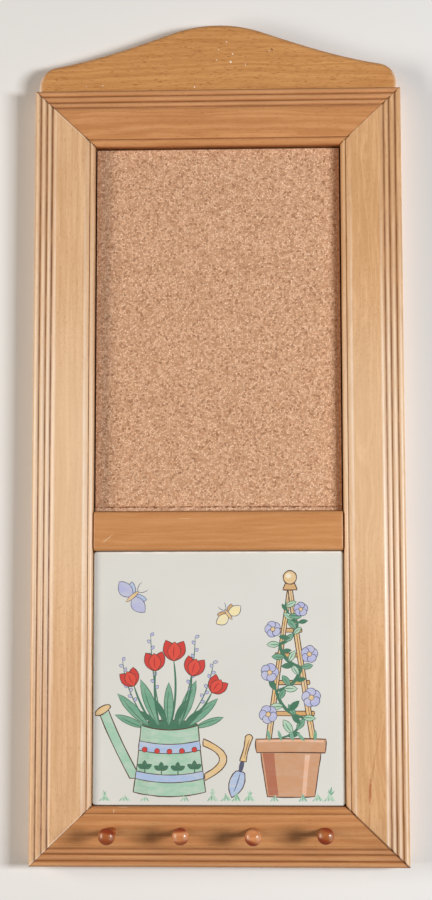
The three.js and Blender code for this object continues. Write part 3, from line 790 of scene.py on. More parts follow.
# %% Draw the template
crest_low, crest_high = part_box("crest_board")
crest_half = crest_high.x
crest_height = crest_high.z - crest_low.z
crest_thickness = crest_high.y - crest_low.y
side_height = 4.2 * mm
shoulder_radius = 13.0 * mm
crown_radius = 84.0 * mm
crown_slope = math.radians(19.5)
shoulder_slope = math.radians(10.0)
crest_ease = 3.0 * mm
highlight_ends = 4.0 * mm
highlight_fade = 3.0 * mm
joint_shadow = 0.7
shoulder_pull = 0.34
crown_pull = 0.36


def slope_by(angle, length):
    """A step along a line that falls to the right at this angle."""
    return Vector((math.cos(angle), -math.sin(angle))) * length


def arc_handle(radius, sweep):
    """How long a handle makes a Bezier curve follow a round of this sweep."""
    return 4.0 / 3.0 * math.tan(sweep / 4.0) * radius


turn_of_shoulder = math.pi / 2.0 - shoulder_slope
shoulder_top = Vector((crest_half - shoulder_radius + shoulder_radius * math.sin(shoulder_slope),
                       side_height + shoulder_radius * math.cos(shoulder_slope)))
crown_start = Vector((crown_radius * math.sin(crown_slope),
                      crest_height - crown_radius * (1.0 - math.cos(crown_slope))))
span = (shoulder_top - crown_start).length
shoulder_handle = arc_handle(shoulder_radius, turn_of_shoulder)
crown_handle = arc_handle(crown_radius, crown_slope)
# Each point is (place, handle towards the bottom corner, handle towards the crown)
half_outline = [
    (Vector((crest_half, 0.0)), Vector((0.0, 0.0)), Vector((0.0, 0.0))),
    (Vector((crest_half, side_height)), Vector((0.0, 0.0)), Vector((0.0, shoulder_handle))),
    (shoulder_top, slope_by(shoulder_slope, shoulder_handle), -slope_by(shoulder_slope, shoulder_pull * span)),
    (crown_start, slope_by(crown_slope, crown_pull * span), -slope_by(crown_slope, crown_handle)),
    (Vector((0.0, crest_height)), Vector((crown_handle, 0.0)), Vector((-crown_handle, 0.0))),
]

# %% Saw the board and round its edge
def flipped(step):
    return Vector((-step.x, step.y))


def on_crest(step):
    """A point of the template on the back plane, above the top rail."""
    return Vector((step.x, 0.0, step.y + crest_low.z))


outline = half_outline + [(flipped(p), flipped(b), flipped(a)) for p, a, b in reversed(half_outline[:-1])]
bpy.ops.object.select_all(action="DESELECT")
bpy.ops.curve.primitive_bezier_curve_add()
template = bpy.context.object
spline = template.data.splines[0]
spline.bezier_points.add(len(outline) - len(spline.bezier_points))
spline.use_cyclic_u = True
spline.resolution_u = 16
for point, (place, before, after) in zip(spline.bezier_points, outline):
    point.handle_left_type = point.handle_right_type = "FREE"
    point.co = on_crest(place)
    point.handle_left = on_crest(place + before)
    point.handle_right = on_crest(place + after)
bpy.ops.object.convert(target="MESH")
crest = bpy.context.object
crest.name = "fine_crest_board"
enter("EDIT")
select_all()
bpy.ops.mesh.remove_doubles(threshold=hair)
bpy.ops.mesh.edge_face_add()
bpy.ops.mesh.extrude_region_move(TRANSFORM_OT_translate={"value": (0.0, -crest_thickness, 0.0)})
outward()
round_edges(crest_ease, 8, lambda a, b: max(a.y, b.y) < hair - crest_thickness and max(a.z, b.z) > crest_low.z + hair)
cut_across(crest_low.z + dark_line_reach)
enter("OBJECT")


# Paler on the rounded edge near both ends: a painted highlight.
def on_crest_ends(co):
    rounding = 1.0 - abs(co.y + crest_thickness - 0.5 * crest_ease) / (0.5 * crest_ease)
    return max(0.0, min(rounding, (abs(co.x) - crest_half + highlight_ends) / highlight_fade))


write_attribute(crest, "wear_and_highlight", on_crest_ends)
# A dark line along the foot: a painted shadow where the crest sits on the top rail.
write_attribute(crest, "stain_and_shade", lambda co: joint_shadow if co.z < crest_low.z + hair else 0.0)
finish_piece(crest, crest_wood, "crest_wood", "crest_board")

# %% [markdown]
# ## The divider
# A plain square bar with its two front edges rounded over: a block, then a bevel on those two
# edges and a smaller one at the front of both ends.

# %% Block and bevel
divider_low, divider_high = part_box("divider_bar")
divider_ease = 2.5 * mm
end_ease = 0.9 * mm
end_gap = 0.3 * mm
top_gap = 0.6 * mm
divider_low += Vector((end_gap, 0.0, 0.0))
divider_high -= Vector((end_gap, 0.0, top_gap))


def block(name, low, high):
    """A block between two corners, left in edit mode."""
    bpy.ops.object.select_all(action="DESELECT")
    bpy.ops.mesh.primitive_cube_add(size=1.0, location=(low + high) / 2.0, scale=high - low)
    bake_place()
    bpy.context.object.name = name
    enter("EDIT")
    return bpy.context.object


divider = block("fine_divider_bar", divider_low, divider_high)
round_edges(divider_ease, 8, lambda a, b: max(a.y, b.y) < divider_low.y + hair and abs(a.x - b.x) > mm)
round_edges(end_ease, 4, lambda a, b: abs(a.x - b.x) < hair and max(a.y, b.y) < divider_high.y - mm)
enter("OBJECT")
finish_piece(divider, divider_wood, "rail_wood", "divider_bar")

# %% [markdown]
# ## Cork
# Sheet cork is ground bark pressed with glue: granules about a millimetre across, each of its
# own tan, with fine dark seams and a few specks of dark bark. A Voronoi pattern is made of just
# such cells. Its cell colour tints each granule, and the distance to a cell's edge draws the
# seams and gives the relief.

# %% The cork material
cork_finish, look = new_material("pressed cork", Roughness=0.92, Specular_IOR_Level=0.25)
spread = placed()
bent = put("VectorMath", operation="ADD")
feed(bent.inputs[0], spread)
ripple = put("TexNoise", Vector=spread, Scale=0.9, Detail=2.0).outputs["Color"]
feed(bent.inputs[1], stretched(ripple, 0.45, 0.45, 0.45))
bent = bent.outputs["Vector"]
granules = {"Vector": bent, "Scale": 0.95, "Randomness": 0.85}
tints = split("Color", Color=put("TexVoronoi", **granules).outputs["Color"])
to_seam = put("TexVoronoi", feature="DISTANCE_TO_EDGE", **granules).outputs["Distance"]
tan = blend(tints["Red"], (0.57, 0.303, 0.165, 1), (0.915, 0.585, 0.387, 1))
tan = blend(remap(tints["Green"], 0.90, 0.95, 0.0, 0.7), tan, (0.26, 0.115, 0.055, 1))
tan = blend(remap(tints["Blue"], 0.93, 0.99, 0.0, 0.5), tan, (1.0, 0.76, 0.56, 1))

# %% [markdown]
# ## A dark line, seams and painted side shadows
# A broken dark line runs just above the divider, with a paler strip under it. It follows the
# granules. The seams and a slow drift darken the sheet a little, and it is browner along its two
# sides, a painted shadow of the stiles, strongest on the right.

# %% Finish the cork material
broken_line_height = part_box("cork_sheet")[0].z / mm + 1.7
height = split("XYZ", Vector=bent)["Z"]
jagged = calculate("MULTIPLY_ADD", tints["Red"], 0.7, broken_line_height - 0.35)
off_broken_line = calculate("ABSOLUTE", calculate("SUBTRACT", height, jagged))
broken = remap(speckle(spread, (0.35, 0.35, 0.05)), 0.4, 0.56, 0.35, 1.0)
broken_line = calculate("MULTIPLY", remap(off_broken_line, 0.25, 0.65, 1.0, 0.0), broken)
below = remap(height, broken_line_height - 0.9, broken_line_height - 0.2, 0.15, 0.0)
tan = blend(below, tan, (0.90, 0.66, 0.46, 1))
tan = blend(broken_line, tan, (0.16, 0.06, 0.025, 1))
drift = remap(speckle(spread, (0.03, 0.03, 0.03)), 0.3, 0.7, 0.03, 0.05)
seams = calculate("ADD", remap(to_seam, 0.0, 0.2, 0.6, 0.0), drift)
tan = blend(seams, tan, (0.30, 0.145, 0.075, 1))
# Painted shadow along both sides of the sheet, where the stiles' shadows fall, strongest on the right.
sideways = split("XYZ", Vector=spread)["X"]
side_shadow = calculate("ADD", remap(sideways, 70.5, 75.5, 0.0, 0.5), remap(sideways, -75.5, -72.0, 0.25, 0.0))
feed(look["Base Color"], blend(side_shadow, tan, (0.50, 0.19, 0.08, 1)))
emboss(look, calculate("MULTIPLY_ADD", tints["Red"], 0.4, calculate("MINIMUM", to_seam, 0.3)), 0.7, 0.4 * mm)

# %% [markdown]
# ## The cork sheet
# A sheet cut with a knife is never quite flat. The block is subdivided and each point is pushed
# a few hundredths of a millimetre in or out.

# %% Cut the sheet
cork_low, cork_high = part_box("cork_sheet")
cork_unevenness = 0.03 * mm
cork_low.z = divider_high.z + top_gap
inset = Vector((1.0, 1.0, 1.0)) * cork_unevenness
cork_sheet = block("fine_cork_sheet", cork_low + inset, cork_high - inset)
bpy.ops.mesh.subdivide(number_cuts=60)
bpy.ops.transform.vertex_random(offset=cork_unevenness, uniform=0.0, normal=1.0, seed=4)
enter("OBJECT")
finish_piece(cork_sheet, cork_finish, "cork", "cork_sheet")

# %% [markdown]
# ## The picture on the tile
# A glazed tile carries its picture under the glaze, in flat washes with pen lines round them. It
# could be painted with shader nodes, but a drawing is easier to make as shapes: each wash and each
# line is one outline, and the outlines are laid over each other like paper cut-outs. Points are
# complex numbers here, in millimetres from the middle of the tile, since adding one moves a
# point and multiplying by one turns it.

# %% Paints and a painter's marks
hand = random.Random(7)
pen_width = 1.45
layers = []
brown_ink = (0.085, 0.035, 0.018, 1.0)
green_ink = (0.035, 0.12, 0.06, 1.0)
slate_ink = (0.07, 0.075, 0.14, 1.0)
mint = (0.34, 0.57, 0.42, 1.0)
pale_blue = (0.38, 0.50, 0.73, 1.0)
ochre = (0.62, 0.36, 0.13, 1.0)
straw = (0.74, 0.51, 0.23, 1.0)
clay = (0.58, 0.30, 0.155, 1.0)
poppy_red = (0.60, 0.035, 0.025, 1.0)
dark_leaf = (0.04, 0.16, 0.09, 1.0)
grey_leaf = (0.15, 0.36, 0.24, 1.0)
pale_leaf = (0.38, 0.60, 0.44, 1.0)
lilac = (0.44, 0.46, 0.71, 1.0)
brown_shadow = (0.22, 0.10, 0.05, 1.0)


def paint(outline, color):
    layers.append((outline, color))


def bow(start, end, lift, steps=8):
    """A line that swells to its left by a share of its length."""
    shares = [step / steps for step in range(steps + 1)]
    return [start + (end - start) * complex(share, 4.0 * lift * share * (1.0 - share)) for share in shares]


def joined(*lines):
    """One closed outline, from lines that each start where the last one ended."""
    return [point for line in lines for point in line[:-1]]


def ring(*corners):
    """A closed outline. Each corner is a point with the lift and the steps of the line that leaves it."""
    ends = corners[1:] + corners[:1]
    return joined(*(bow(point, end[0], *line) for (point, *line), end in zip(corners, ends)))


def lens(base, tip, lift, steps=8):
    """A leaf shape between two points."""
    return ring((base, lift, steps), (tip, lift, steps))


def panel(*corners):
    """A shape with sides that waver a little, as drawn by hand."""
    return ring(*((corner, hand.uniform(-0.012, 0.012), 6) for corner in corners))


def round_shape(centre, width, height, turn=0.0, steps=24):
    angles = [2.0 * math.pi * step / steps for step in range(steps)]
    return [centre + cmath.rect(1.0, turn) * complex(width / 2.0 * math.cos(angle), height / 2.0 * math.sin(angle))
            for angle in angles]


def stroke(path, width, color):
    """A pen line along a path, thin at both ends."""
    left, right = [], []
    last = len(path) - 1
    for index, point in enumerate(path):
        ahead = path[min(index + 1, last)] - path[max(index - 1, 0)]
        press = 0.35 + 0.65 * math.sin(math.pi * index / last) ** 0.5 if 0 < index < last else 0.35
        side = 0.5j * pen_width * width * press * ahead / abs(ahead)
        left.append(point + side)
        right.append(point - side)
    paint(right + left[::-1], color)


def shape(outline, color, line=0.5, line_color=brown_ink):
    """A wash of colour with a pen line round it."""
    rim = []
    for index, point in enumerate(outline):
        ahead = outline[(index + 1) % len(outline)] - outline[index - 1]
        rim.append(point - 1j * ahead / abs(ahead) * pen_width * line * hand.uniform(0.7, 1.1))
    paint(rim, line_color)
    paint(outline, color)


def leaf(base, angle, length, color, line_color, plump):
    tip = base + cmath.rect(length, angle)
    shape(lens(base, tip, -plump, 7), color, 0.3, line_color)
    stroke(bow(base, base + 0.8 * (tip - base), 0.04, 4), 0.3, line_color)


def soft_leaf(base, angle, length, color, plump):
    paint(lens(base, base + cmath.rect(length, angle), -plump, 6), color)


def tulip(foot, angle, size):
    """Three petals on a stem; the middle one is painted last."""
    up = cmath.rect(size, angle)
    for lean in (0.42, -0.42):
        shape(lens(foot, foot + up * cmath.rect(1.05, lean), -0.28), poppy_red, 0.35)
    shape(lens(foot, foot + up * 0.9, -0.34), (0.70, 0.06, 0.035, 1.0), 0.3)
    stroke(bow(foot + up * 0.15, foot + up * 0.7, 0.06, 4), 0.35, (0.3, 0.01, 0.01, 1.0))


def sprig(start, end, lift):
    """A spike of small lilac buds."""
    line = bow(start, end, lift, 14)
    stroke(line, 0.5, dark_leaf)
    for index, point in enumerate(line[6:]):
        side = 1 if index % 2 else -1
        lean = cmath.phase(end - start) + side * 0.9
        shape(lens(point, point + cmath.rect(2.6, lean), -0.3, 4), lilac, 0.22, slate_ink)


def grass(x, y, size, blades):
    for blade in range(blades):
        lean = math.pi / 2.0 + (blade - (blades - 1) / 2.0) * 0.2 + hand.uniform(-0.1, 0.1)
        base = complex(x + (blade - blades / 2.0) * 0.9, y)
        soft_leaf(base, lean, size * hand.uniform(0.6, 1.0), pale_leaf if blade % 3 else grey_leaf, 0.07)


def butterfly(spot, turn, size, color, second):
    """Two pairs of wings, the smaller one first, with feelers and a body."""
    for side in (1.0, -1.0):
        for reach, wide, lean, tint in ((0.72, 0.5, 0.3, second), (1.0, 0.62, 1.05, color)):
            tip = spot + cmath.rect(size * reach, turn + side * (math.pi / 2.0 - 0.9 + lean * 0.9))
            front, back = (-wide * 0.42, -wide * 0.62)[::int(side)]
            shape(ring((spot, front), (tip, back)), tint, 0.3, slate_ink)
        feeler = bow(spot + cmath.rect(size * 0.3, turn), spot + cmath.rect(size * 0.85, turn + side * 0.3),
                     side * 0.12, 5)
        stroke(feeler, 0.28, slate_ink)
    shape(lens(spot - cmath.rect(size * 0.45, turn), spot + cmath.rect(size * 0.4, turn), -0.1, 6), straw, 0.28,
          slate_ink)

# %% [markdown]
# ## A garden picture
# The motifs are plain garden things: a watering can full of tulips, a climbing plant on a
# pyramid of laths, a trowel and two butterflies.

# %% Compose the picture
def watering_can():
    shape(joined(bow(-47 - 60j, -67 - 19j, 0.02, 6), bow(-67 - 19j, -71.5 - 22j, 0.0, 3),
                 bow(-71.5 - 22j, -49 - 67j, -0.02, 6)), mint)
    shape(round_shape(-70 - 19.5j, 10.0, 3.6, 0.55), straw)
    handle = ring((-9 - 37j, 0.55, 16), (-8 - 61j, 0.0, 2), (-8 - 57.5j, -0.55, 16), (-9 - 40.5j, 0.0, 2))
    shape(handle[::-1], straw)
    shape(round_shape(-29.5 - 29j, 34.0, 6.5), dark_leaf)


def can_front():
    """The can's body, with two bands, a row of dots and a row of leaves that sag with its roundness."""
    shape(ring((-51 - 68j, -0.06, 12), (-8 - 68j, 0.01), (-12.5 - 29j, 0.08, 12), (-46.5 - 29j, 0.01)), mint)
    paint(ring((-50 - 67j, -0.05), (-42 - 69.5j, 0.02), (-40.5 - 32j, 0.0), (-46 - 30j, 0.02)),
          (0.30, 0.52, 0.37, 1.0))
    for low, high in ((-60.0, -56.0), (-43.0, -38.0)):
        wide, narrow = 21.3 - (low + 68.0) * 0.11, 21.3 - (high + 68.0) * 0.11
        shape(ring((complex(-29.5 - wide, low), -0.06, 12), (complex(-29.5 + wide, low), 0.0, 3),
                   (complex(-29.5 + narrow, high), 0.06, 12), (complex(-29.5 - narrow, high), 0.0, 3)), pale_blue, 0.4)
    for x in (-44.5, -37.0, -29.5, -22.0, -14.5):
        sag = 2.0 * math.sin(math.pi * (x + 50.0) / 41.0)
        shape(round_shape(complex(x, -42.2 - sag), 2.8, 2.8), poppy_red, 0.25)
    for column in range(4):
        sag = 1.8 * math.sin(math.pi * (column + 0.5) / 4.0)
        foot = complex(-44.5 + column * 10.0, -53.5 - sag)
        for lean in (0.5, 1.57, 2.64):
            leaf(foot, lean, 4.6, dark_leaf, green_ink, 0.24)
        stroke(bow(foot, foot - 3.0j, 0.05, 4), 0.5, green_ink)


def bouquet():
    for base, angle, length in ((-42 - 29j, 2.35, 27), (-18 - 29j, 0.75, 24), (-36 - 29j, 1.95, 30),
                                (-24 - 29j, 1.2, 29), (-44 - 30j, 2.75, 20), (-14 - 30j, 0.35, 18),
                                (-30 - 29j, 1.57, 26)):
        leaf(base, angle, length, grey_leaf, green_ink, 0.1)
    for start, end, lift in ((-40 - 30j, -58 + 10j, 0.08), (-22 - 30j, -3 + 9j, -0.08),
                             (-33 - 30j, -41 + 25j, 0.03), (-26 - 30j, -14 + 24j, -0.05)):
        sprig(start, end, lift)
    for start, end, size in ((-38 - 30j, -51 - 5j, 10.5), (-35 - 30j, -38 + 4j, 11.5), (-29 - 30j, -27 + 10j, 12.5),
                             (-24 - 30j, -16 + 1j, 11.5), (-20 - 30j, -4 - 9j, 10.5)):
        stroke(bow(start, end, 0.05 if end.real < -29 else -0.05, 12), 0.9, dark_leaf)
        tulip(end, cmath.phase(end - start), size)
    for foot, angle, length in ((-31 - 28j, 2.0, 16), (-27 - 28j, 1.1, 17), (-37 - 28j, 2.5, 14),
                                (-21 - 28j, 0.7, 14)):
        soft_leaf(foot, angle, length, dark_leaf, 0.12)


def trellis():
    left, right, top = 30 - 38j, 57 - 38j, 43.5 + 54j
    for share in (0.18, 0.38, 0.56, 0.72):
        a, b = left + (top - left) * share, right + (top - right) * share
        shape(panel(a - 3 - 1j, b + 3 - 1j, b + 3 + 1j, a - 3 + 1j), ochre, 0.4)
    for foot in (left, right):
        shape(panel(foot - 1.3, foot + 1.3, top + 1.0, top - 1.0), straw, 0.45)
        stroke(bow(foot + 0.4, top, 0.004, 10), 0.35, brown_shadow)
    shape(panel(39.5 + 53j, 47.5 + 53j, 46 + 56.5j, 41 + 56.5j), ochre)
    shape(round_shape(43.5 + 60.2j, 7.5, 7.5), straw)
    paint(round_shape(42.6 + 61.2j, 3.6, 3.0), (0.86, 0.76, 0.55, 1.0))


def rosette(spot, size):
    """A flat rose: petals round a darker heart."""
    start = hand.uniform(0.0, 1.2)
    for petal in range(5):
        way = cmath.rect(size * 0.34, start + petal * 2.0 * math.pi / 5.0)
        shape(round_shape(spot + way, size * 0.62, size * 0.5, cmath.phase(way) + 1.57, 12), lilac, 0.3, slate_ink)
    shape(round_shape(spot, size * 0.3, size * 0.3, 0.0, 10), straw, 0.25, brown_ink)


def vine():
    knots = (37 - 36j, 51 - 24j, 35 - 8j, 50 + 6j, 37 + 20j, 48 + 33j, 41 + 46j)
    path = [knots[0]]
    for index, (a, b) in enumerate(zip(knots, knots[1:])):
        path += bow(a, b, 0.16 if index % 2 else -0.16, 10)[1:]
    stroke(path, 1.5, dark_leaf)
    for index in range(2, len(path) - 1, 2):
        side = 1 if index % 4 else -1
        lean = math.pi / 2.0 - side * hand.uniform(0.5, 1.7)
        length = hand.uniform(7.0, 9.5) * (1.05 - 0.3 * index / len(path))
        tint = (grey_leaf, dark_leaf, pale_leaf)[index // 2 % 3]
        if tint == dark_leaf:
            soft_leaf(path[index], lean, length, tint, 0.22)
        else:
            leaf(path[index], lean, length, tint, green_ink, 0.22)
    for spot, size in ((30 - 22j, 9.0), (56 - 12j, 9.5), (31 + 3j, 9.0), (55 + 14j, 8.5), (33 + 29j, 8.0),
                       (50 + 41j, 7.0)):
        rosette(spot, size)


def pot():
    shape(panel(29.5 - 70.5j, 57.5 - 70.5j, 61.5 - 44j, 25.5 - 44j), clay)
    paint(panel(30 - 70j, 36 - 70j, 33.5 - 45j, 26.5 - 45j), (0.42, 0.14, 0.07, 1.0))
    paint(panel(50 - 70j, 52.5 - 70j, 55 - 46j, 52 - 46j), (0.78, 0.44, 0.28, 1.0))
    shape(panel(23 - 44.5j, 64 - 44.5j, 64.5 - 37j, 22.5 - 37j), clay)
    paint(panel(24 - 38.6j, 63 - 38.6j, 63.5 - 37.4j, 23.5 - 37.4j), (0.78, 0.44, 0.28, 1.0))
    for x in (31, 38, 45, 52, 58):
        soft_leaf(complex(x, -38), math.pi / 2 + hand.uniform(-0.8, 0.8), 7.0, grey_leaf, 0.15)


def trowel():
    shape(ring((10.5 - 56j, -0.18), (8.0 - 71j, -0.18), (15.5 - 57.2j, -0.1, 4)), pale_blue)
    stroke(bow(13 - 57j, 9.2 - 68j, 0.02, 5), 0.4, slate_ink)
    stroke(bow(13 - 56.5j, 14.6 - 49j, 0.0, 4), 2.0, slate_ink)
    shape(ring((13.0 - 49.5j, 0.0, 3), (16.4 - 50j, 0.05), (20.4 - 36j, -0.35, 6), (16.4 - 35.3j, 0.05)), straw)
    stroke(bow(15.6 - 48j, 18.6 - 37j, 0.02, 5), 0.4, brown_shadow)


for x, size in ((-68, 8), (-56, 5), (-3, 9), (5, 6), (19, 8), (67, 10), (60, 6)):
    grass(x, -73.8, size, 9)
trellis()
vine()
pot()
watering_can()
bouquet()
can_front()
trowel()
for x, size in ((-44, 4), (-20, 5), (11, 7), (34, 5), (51, 6)):
    grass(x, -74.0, size, 7)
butterfly(-52 + 49j, 0.7, 12.0, lilac, pale_blue)
butterfly(6 + 38j, 2.2, 9.0, (0.86, 0.74, 0.40, 1.0), ochre)
print("picture:", len(layers), "shapes,", sum(len(outline) for outline, color in layers), "points")

# %% [markdown]
# ## The tile
# The tile starts as a block. Its corners and its front rim are rounded, as the press leaves them,
# and its flat front is cut away but for a narrow border. The picture's outlines are then fused
# into one flat mesh that fills the hole. Each of its triangles takes the colour of the topmost
# shape that it lies in, so the tile stays one closed piece with the picture in its surface. The
# top rim, which catches the light, is painted pale: a painted highlight.

# %% Press the tile
tile_low, tile_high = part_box("picture_tile")
tile_middle = (tile_low.z + tile_high.z) / 2.0
tile_corner = 2.0 * mm
tile_ease = 1.1 * mm
tile_border = 0.35 * mm

tile = block("fine_picture_tile", tile_low, tile_high)
round_edges(tile_corner, 6, lambda a, b: abs(a.y - b.y) > mm)
round_edges(tile_ease, 8, lambda a, b: max(a.y, b.y) < tile_low.y + hair)
select_where("FACE", lambda face: face.calc_center_median().y < tile_low.y + hair)
bpy.ops.mesh.inset(thickness=tile_border)
bpy.ops.mesh.delete(type="FACE")
enter("OBJECT")


def open_loop(mesh):
    """The points of the hole in a mesh, in order round it."""
    solid = bmesh.new()
    solid.from_mesh(mesh)
    edge = next(edge for edge in solid.edges if edge.is_boundary)
    first = vertex = edge.verts[0]
    loop = []
    while not loop or vertex != first:
        loop.append(vertex.co.copy())
        vertex = edge.other_vert(vertex)
        edge = next(other for other in vertex.link_edges if other.is_boundary and other != edge)
    solid.free()
    return loop


border = open_loop(tile.data)
print("border points:", len(border))

# %% Fuse the picture and set it in
def counter_clockwise(outline):
    area = sum((a.conjugate() * b).imag for a, b in zip(outline, outline[1:] + outline[:1]))
    return outline if area > 0.0 else outline[::-1]


outlines = [counter_clockwise([complex(co.x, co.z - tile_middle) / mm for co in border])]
outlines += [counter_clockwise(outline) for outline, color in layers]
places, loops = [], []
for outline in outlines:
    loops.append(list(range(len(places), len(places) + len(outline))))
    places += [Vector((point.real, point.imag)) for point in outline]
keep_inside = 1
fuse_gap = 0.0001
fused, _, faces, _, _, origins = geometry.delaunay_2d_cdt(places, [], loops, keep_inside, fuse_gap)
inside = [(face, max(origin)) for face, origin in zip(faces, origins) if 0 in origin]

bare = (0.0, 0.0, 0.0, 0.0)
painted_rim_highlight = (0.97, 0.95, 0.90, 0.75)
# The top rim is painted pale: a painted highlight.
rim_paint = tile.data.color_attributes.new("print", "FLOAT_COLOR", "CORNER")
for face in tile.data.polygons:
    on_top_edge = face.center.z > tile_high.z - tile_ease and face.center.y < tile_low.y + tile_ease
    for corner in face.loop_indices:
        rim_paint.data[corner].color = painted_rim_highlight if on_top_edge else bare
picture = bpy.data.meshes.new("picture")
picture.from_pydata([(co.x * mm, tile_low.y, co.y * mm + tile_middle) for co in fused], [],
                    [face for face, top in inside])
colors = picture.color_attributes.new("print", "FLOAT_COLOR", "CORNER")
for face, (_, top) in zip(picture.polygons, inside):
    for corner in face.loop_indices:
        colors.data[corner].color = layers[top - 1][1] if top else bare
front = add_object("picture", picture)
only(tile)
front.select_set(True)
bpy.ops.object.join()
enter("EDIT")
select_all()
bpy.ops.mesh.remove_doubles(threshold=0.0005 * mm)
bpy.ops.mesh.delete_loose()
enter("OBJECT")
print("tile faces:", len(tile.data.polygons))

# %% [markdown]
# ## Glaze
# Cream glass over fired clay: smooth, with a faint waviness where it pooled. Washes let the cream
# through where the brush ran dry, so pale paints are mottled and dark pen lines are not.

# %% The glaze material
glaze, look = new_material("tile glaze", Roughness=0.1, Coat_Weight=0.4, Coat_Roughness=0.03)
washes = put("Attribute", attribute_name="print").outputs
spread = placed()
dryness = remap(speckle(spread, (0.12, 0.12, 0.3), 5.0, 0.65), 0.38, 0.66, 0.0, 0.75)
parts = split("Color", Color=washes["Color"])
weakest = calculate("MINIMUM", calculate("MINIMUM", parts["Red"], parts["Green"]), parts["Blue"])
loss = calculate("MULTIPLY", remap(weakest, 0.02, 0.4, 0.25, 1.0), dryness)
loss = calculate("MULTIPLY", loss, parts["Green"])
amount = calculate("MULTIPLY", washes["Alpha"], calculate("SUBTRACT", 1.0, loss))
cloud = remap(speckle(spread, (0.02, 0.02, 0.02), 3.0), 0.3, 0.7)
cream = blend(cloud, (0.69, 0.692, 0.656, 1), (0.665, 0.666, 0.63, 1))
feed(look["Base Color"], blend(amount, cream, washes["Color"]))
emboss(look, speckle(spread, (0.05, 0.05, 0.05)), 0.25, 0.6 * mm, "Coat Normal")
finish_piece(tile, glaze, "tile_glaze", "picture_tile")

# %% [markdown]
# ## Key pegs
# Each peg is one turning: a tenon in the rail, a round foot, a slim neck and a mushroom head.
# Its half profile is drawn with the same pen as the moulding, then spun all the way round. The
# four were glued in by hand, so each leans its own way. The top and bottom of each head are
# painted darker as painted shade, the neck and foot are a little darker, and the sides of each head
# carry pale painted highlights.

# %% Turn one peg
peg_names = [f"key_peg_{number}" for number in range(1, 5)]
peg_low, peg_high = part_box(peg_names[0])
peg_head = (peg_high.x - peg_low.x) / 2.0 + 0.2 * mm
peg_reach = -peg_low.y - thickness
tenon_radius = 2.5 * mm
tenon_length = 8.0 * mm
foot_radius = 2.7 * mm
neck_radius = 1.9 * mm
throat_radius = 2.2 * mm
tenon_chamfer = 0.3 * mm
foot_height = 0.12 * peg_reach
head_start = 0.74 * peg_reach
head_rim = 0.87 * peg_reach

start_section("peg", 0.0, -tenon_length)
straight_to(tenon_radius - tenon_chamfer, -tenon_length)
straight_to(tenon_radius, tenon_chamfer - tenon_length)
straight_to(tenon_radius, 0.0)
oval_about(tenon_radius, foot_height / 2.0, foot_radius - tenon_radius, foot_height / 2.0, -quarter_turn,
           quarter_turn, 12)
straight_to((tenon_radius + neck_radius) / 2.0 - 0.1 * mm, 0.2 * peg_reach)
straight_to(neck_radius, 0.42 * peg_reach)
straight_to(throat_radius, head_start)
oval_about(throat_radius, head_rim, peg_head - throat_radius, head_rim - head_start, -quarter_turn, 0.0, 10)
oval_about(0.0, head_rim, peg_head, peg_reach - head_rim, 0.0, quarter_turn, 14)
select_all()
bpy.ops.mesh.spin(steps=56, angle=2.0 * math.pi, center=(0.0, 0.0, 0.0), axis=(0.0, 1.0, 0.0))
select_all()
bpy.ops.mesh.remove_doubles(threshold=0.005 * mm)
outward()
enter("OBJECT")
turned_peg = bpy.context.object

# %% Set four pegs in the rail
# The tint is the dark colour of the painted shade on the heads.
peg_look = {"tint": (0.24, 0.028, 0.0015, 1.0), "Coat_Weight": 0.5, "Coat_Roughness": 0.14, "wear": 0.22}
red_peg = board("red peg wood", (0.50, 0.165, 0.048, 1), (0.34, 0.095, 0.02, 1), along_y, (5, 9, 40), 0.7, 0.2,
                **peg_look)
tan_peg = board("tan peg wood", (0.70, 0.29, 0.12, 1), (0.54, 0.20, 0.07, 1), along_y, (8, 3, 11), 0.7, 0.2,
                **peg_look)
# Each peg is its wood, its leans to the right and upwards and the turn of its painted shade, all in
# degrees, and where the painted shade starts below and above, as shares of the head's radius
peg_settings = [(red_peg, -2.6, -1.3, -12.0, 0.12, 0.25), (tan_peg, -0.5, -0.9, 5.0, 0.3, 0.45),
                (tan_peg, -0.3, -2.0, -25.0, 0.25, 0.8), (red_peg, -1.0, 0.6, -20.0, 0.2, 0.42)]
neck_darkening = 0.1
low_fade = 0.36
high_fade = 0.3
highlight_place = 0.6
highlight_width = 0.35
highlight_height = 0.6


# The top and bottom of each head are painted darker: painted shade. The neck and foot are a little darker.
def peg_shade(co, turn, low_start, high_start):
    if co.y > -head_start:
        return neck_darkening
    fall = (co.x * math.sin(turn) - co.z * math.cos(turn)) / peg_head
    return min(1.0, max(0.0, (fall - low_start) / low_fade, (-fall - high_start) / high_fade))


# Pale patches at both sides of each head: painted highlights.
def peg_highlight(co):
    if co.y > -head_start:
        return 0.0
    return max(0.0, 1.0 - math.hypot((abs(co.x) / peg_head - highlight_place) / highlight_width,
                                     co.z / peg_head / highlight_height))


for name, (wood, across, upwards, turn, low_start, high_start) in zip(peg_names, peg_settings):
    low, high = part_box(name)
    peg = add_object("fine_" + name, turned_peg.data.copy())
    write_attribute(peg, "stain_and_shade", lambda co: peg_shade(co, math.radians(turn), low_start, high_start))
    write_attribute(peg, "wear_and_highlight", peg_highlight)
    place = Matrix.Translation(((low.x + high.x) / 2.0, -thickness, (low.z + high.z) / 2.0))
    lean = Matrix.Rotation(math.radians(across), 4, "Z") @ Matrix.Rotation(math.radians(-upwards), 4, "X")
    peg.data.transform(place @ lean)
    finish_piece(peg, wood, "peg_wood", name)
bpy.data.objects.remove(turned_peg)

# %% [markdown]
# ## Back panel, dowels and steel
# The pieces behind the face keep their imported shapes. Steel edges are never perfectly sharp, so
# a weld joins each fastener's loose triangles and a small bevel rounds its edges. The panel is
# hardboard, smooth in front and pressed on a wire screen behind; its finish gives the screen's relief
# to every side.

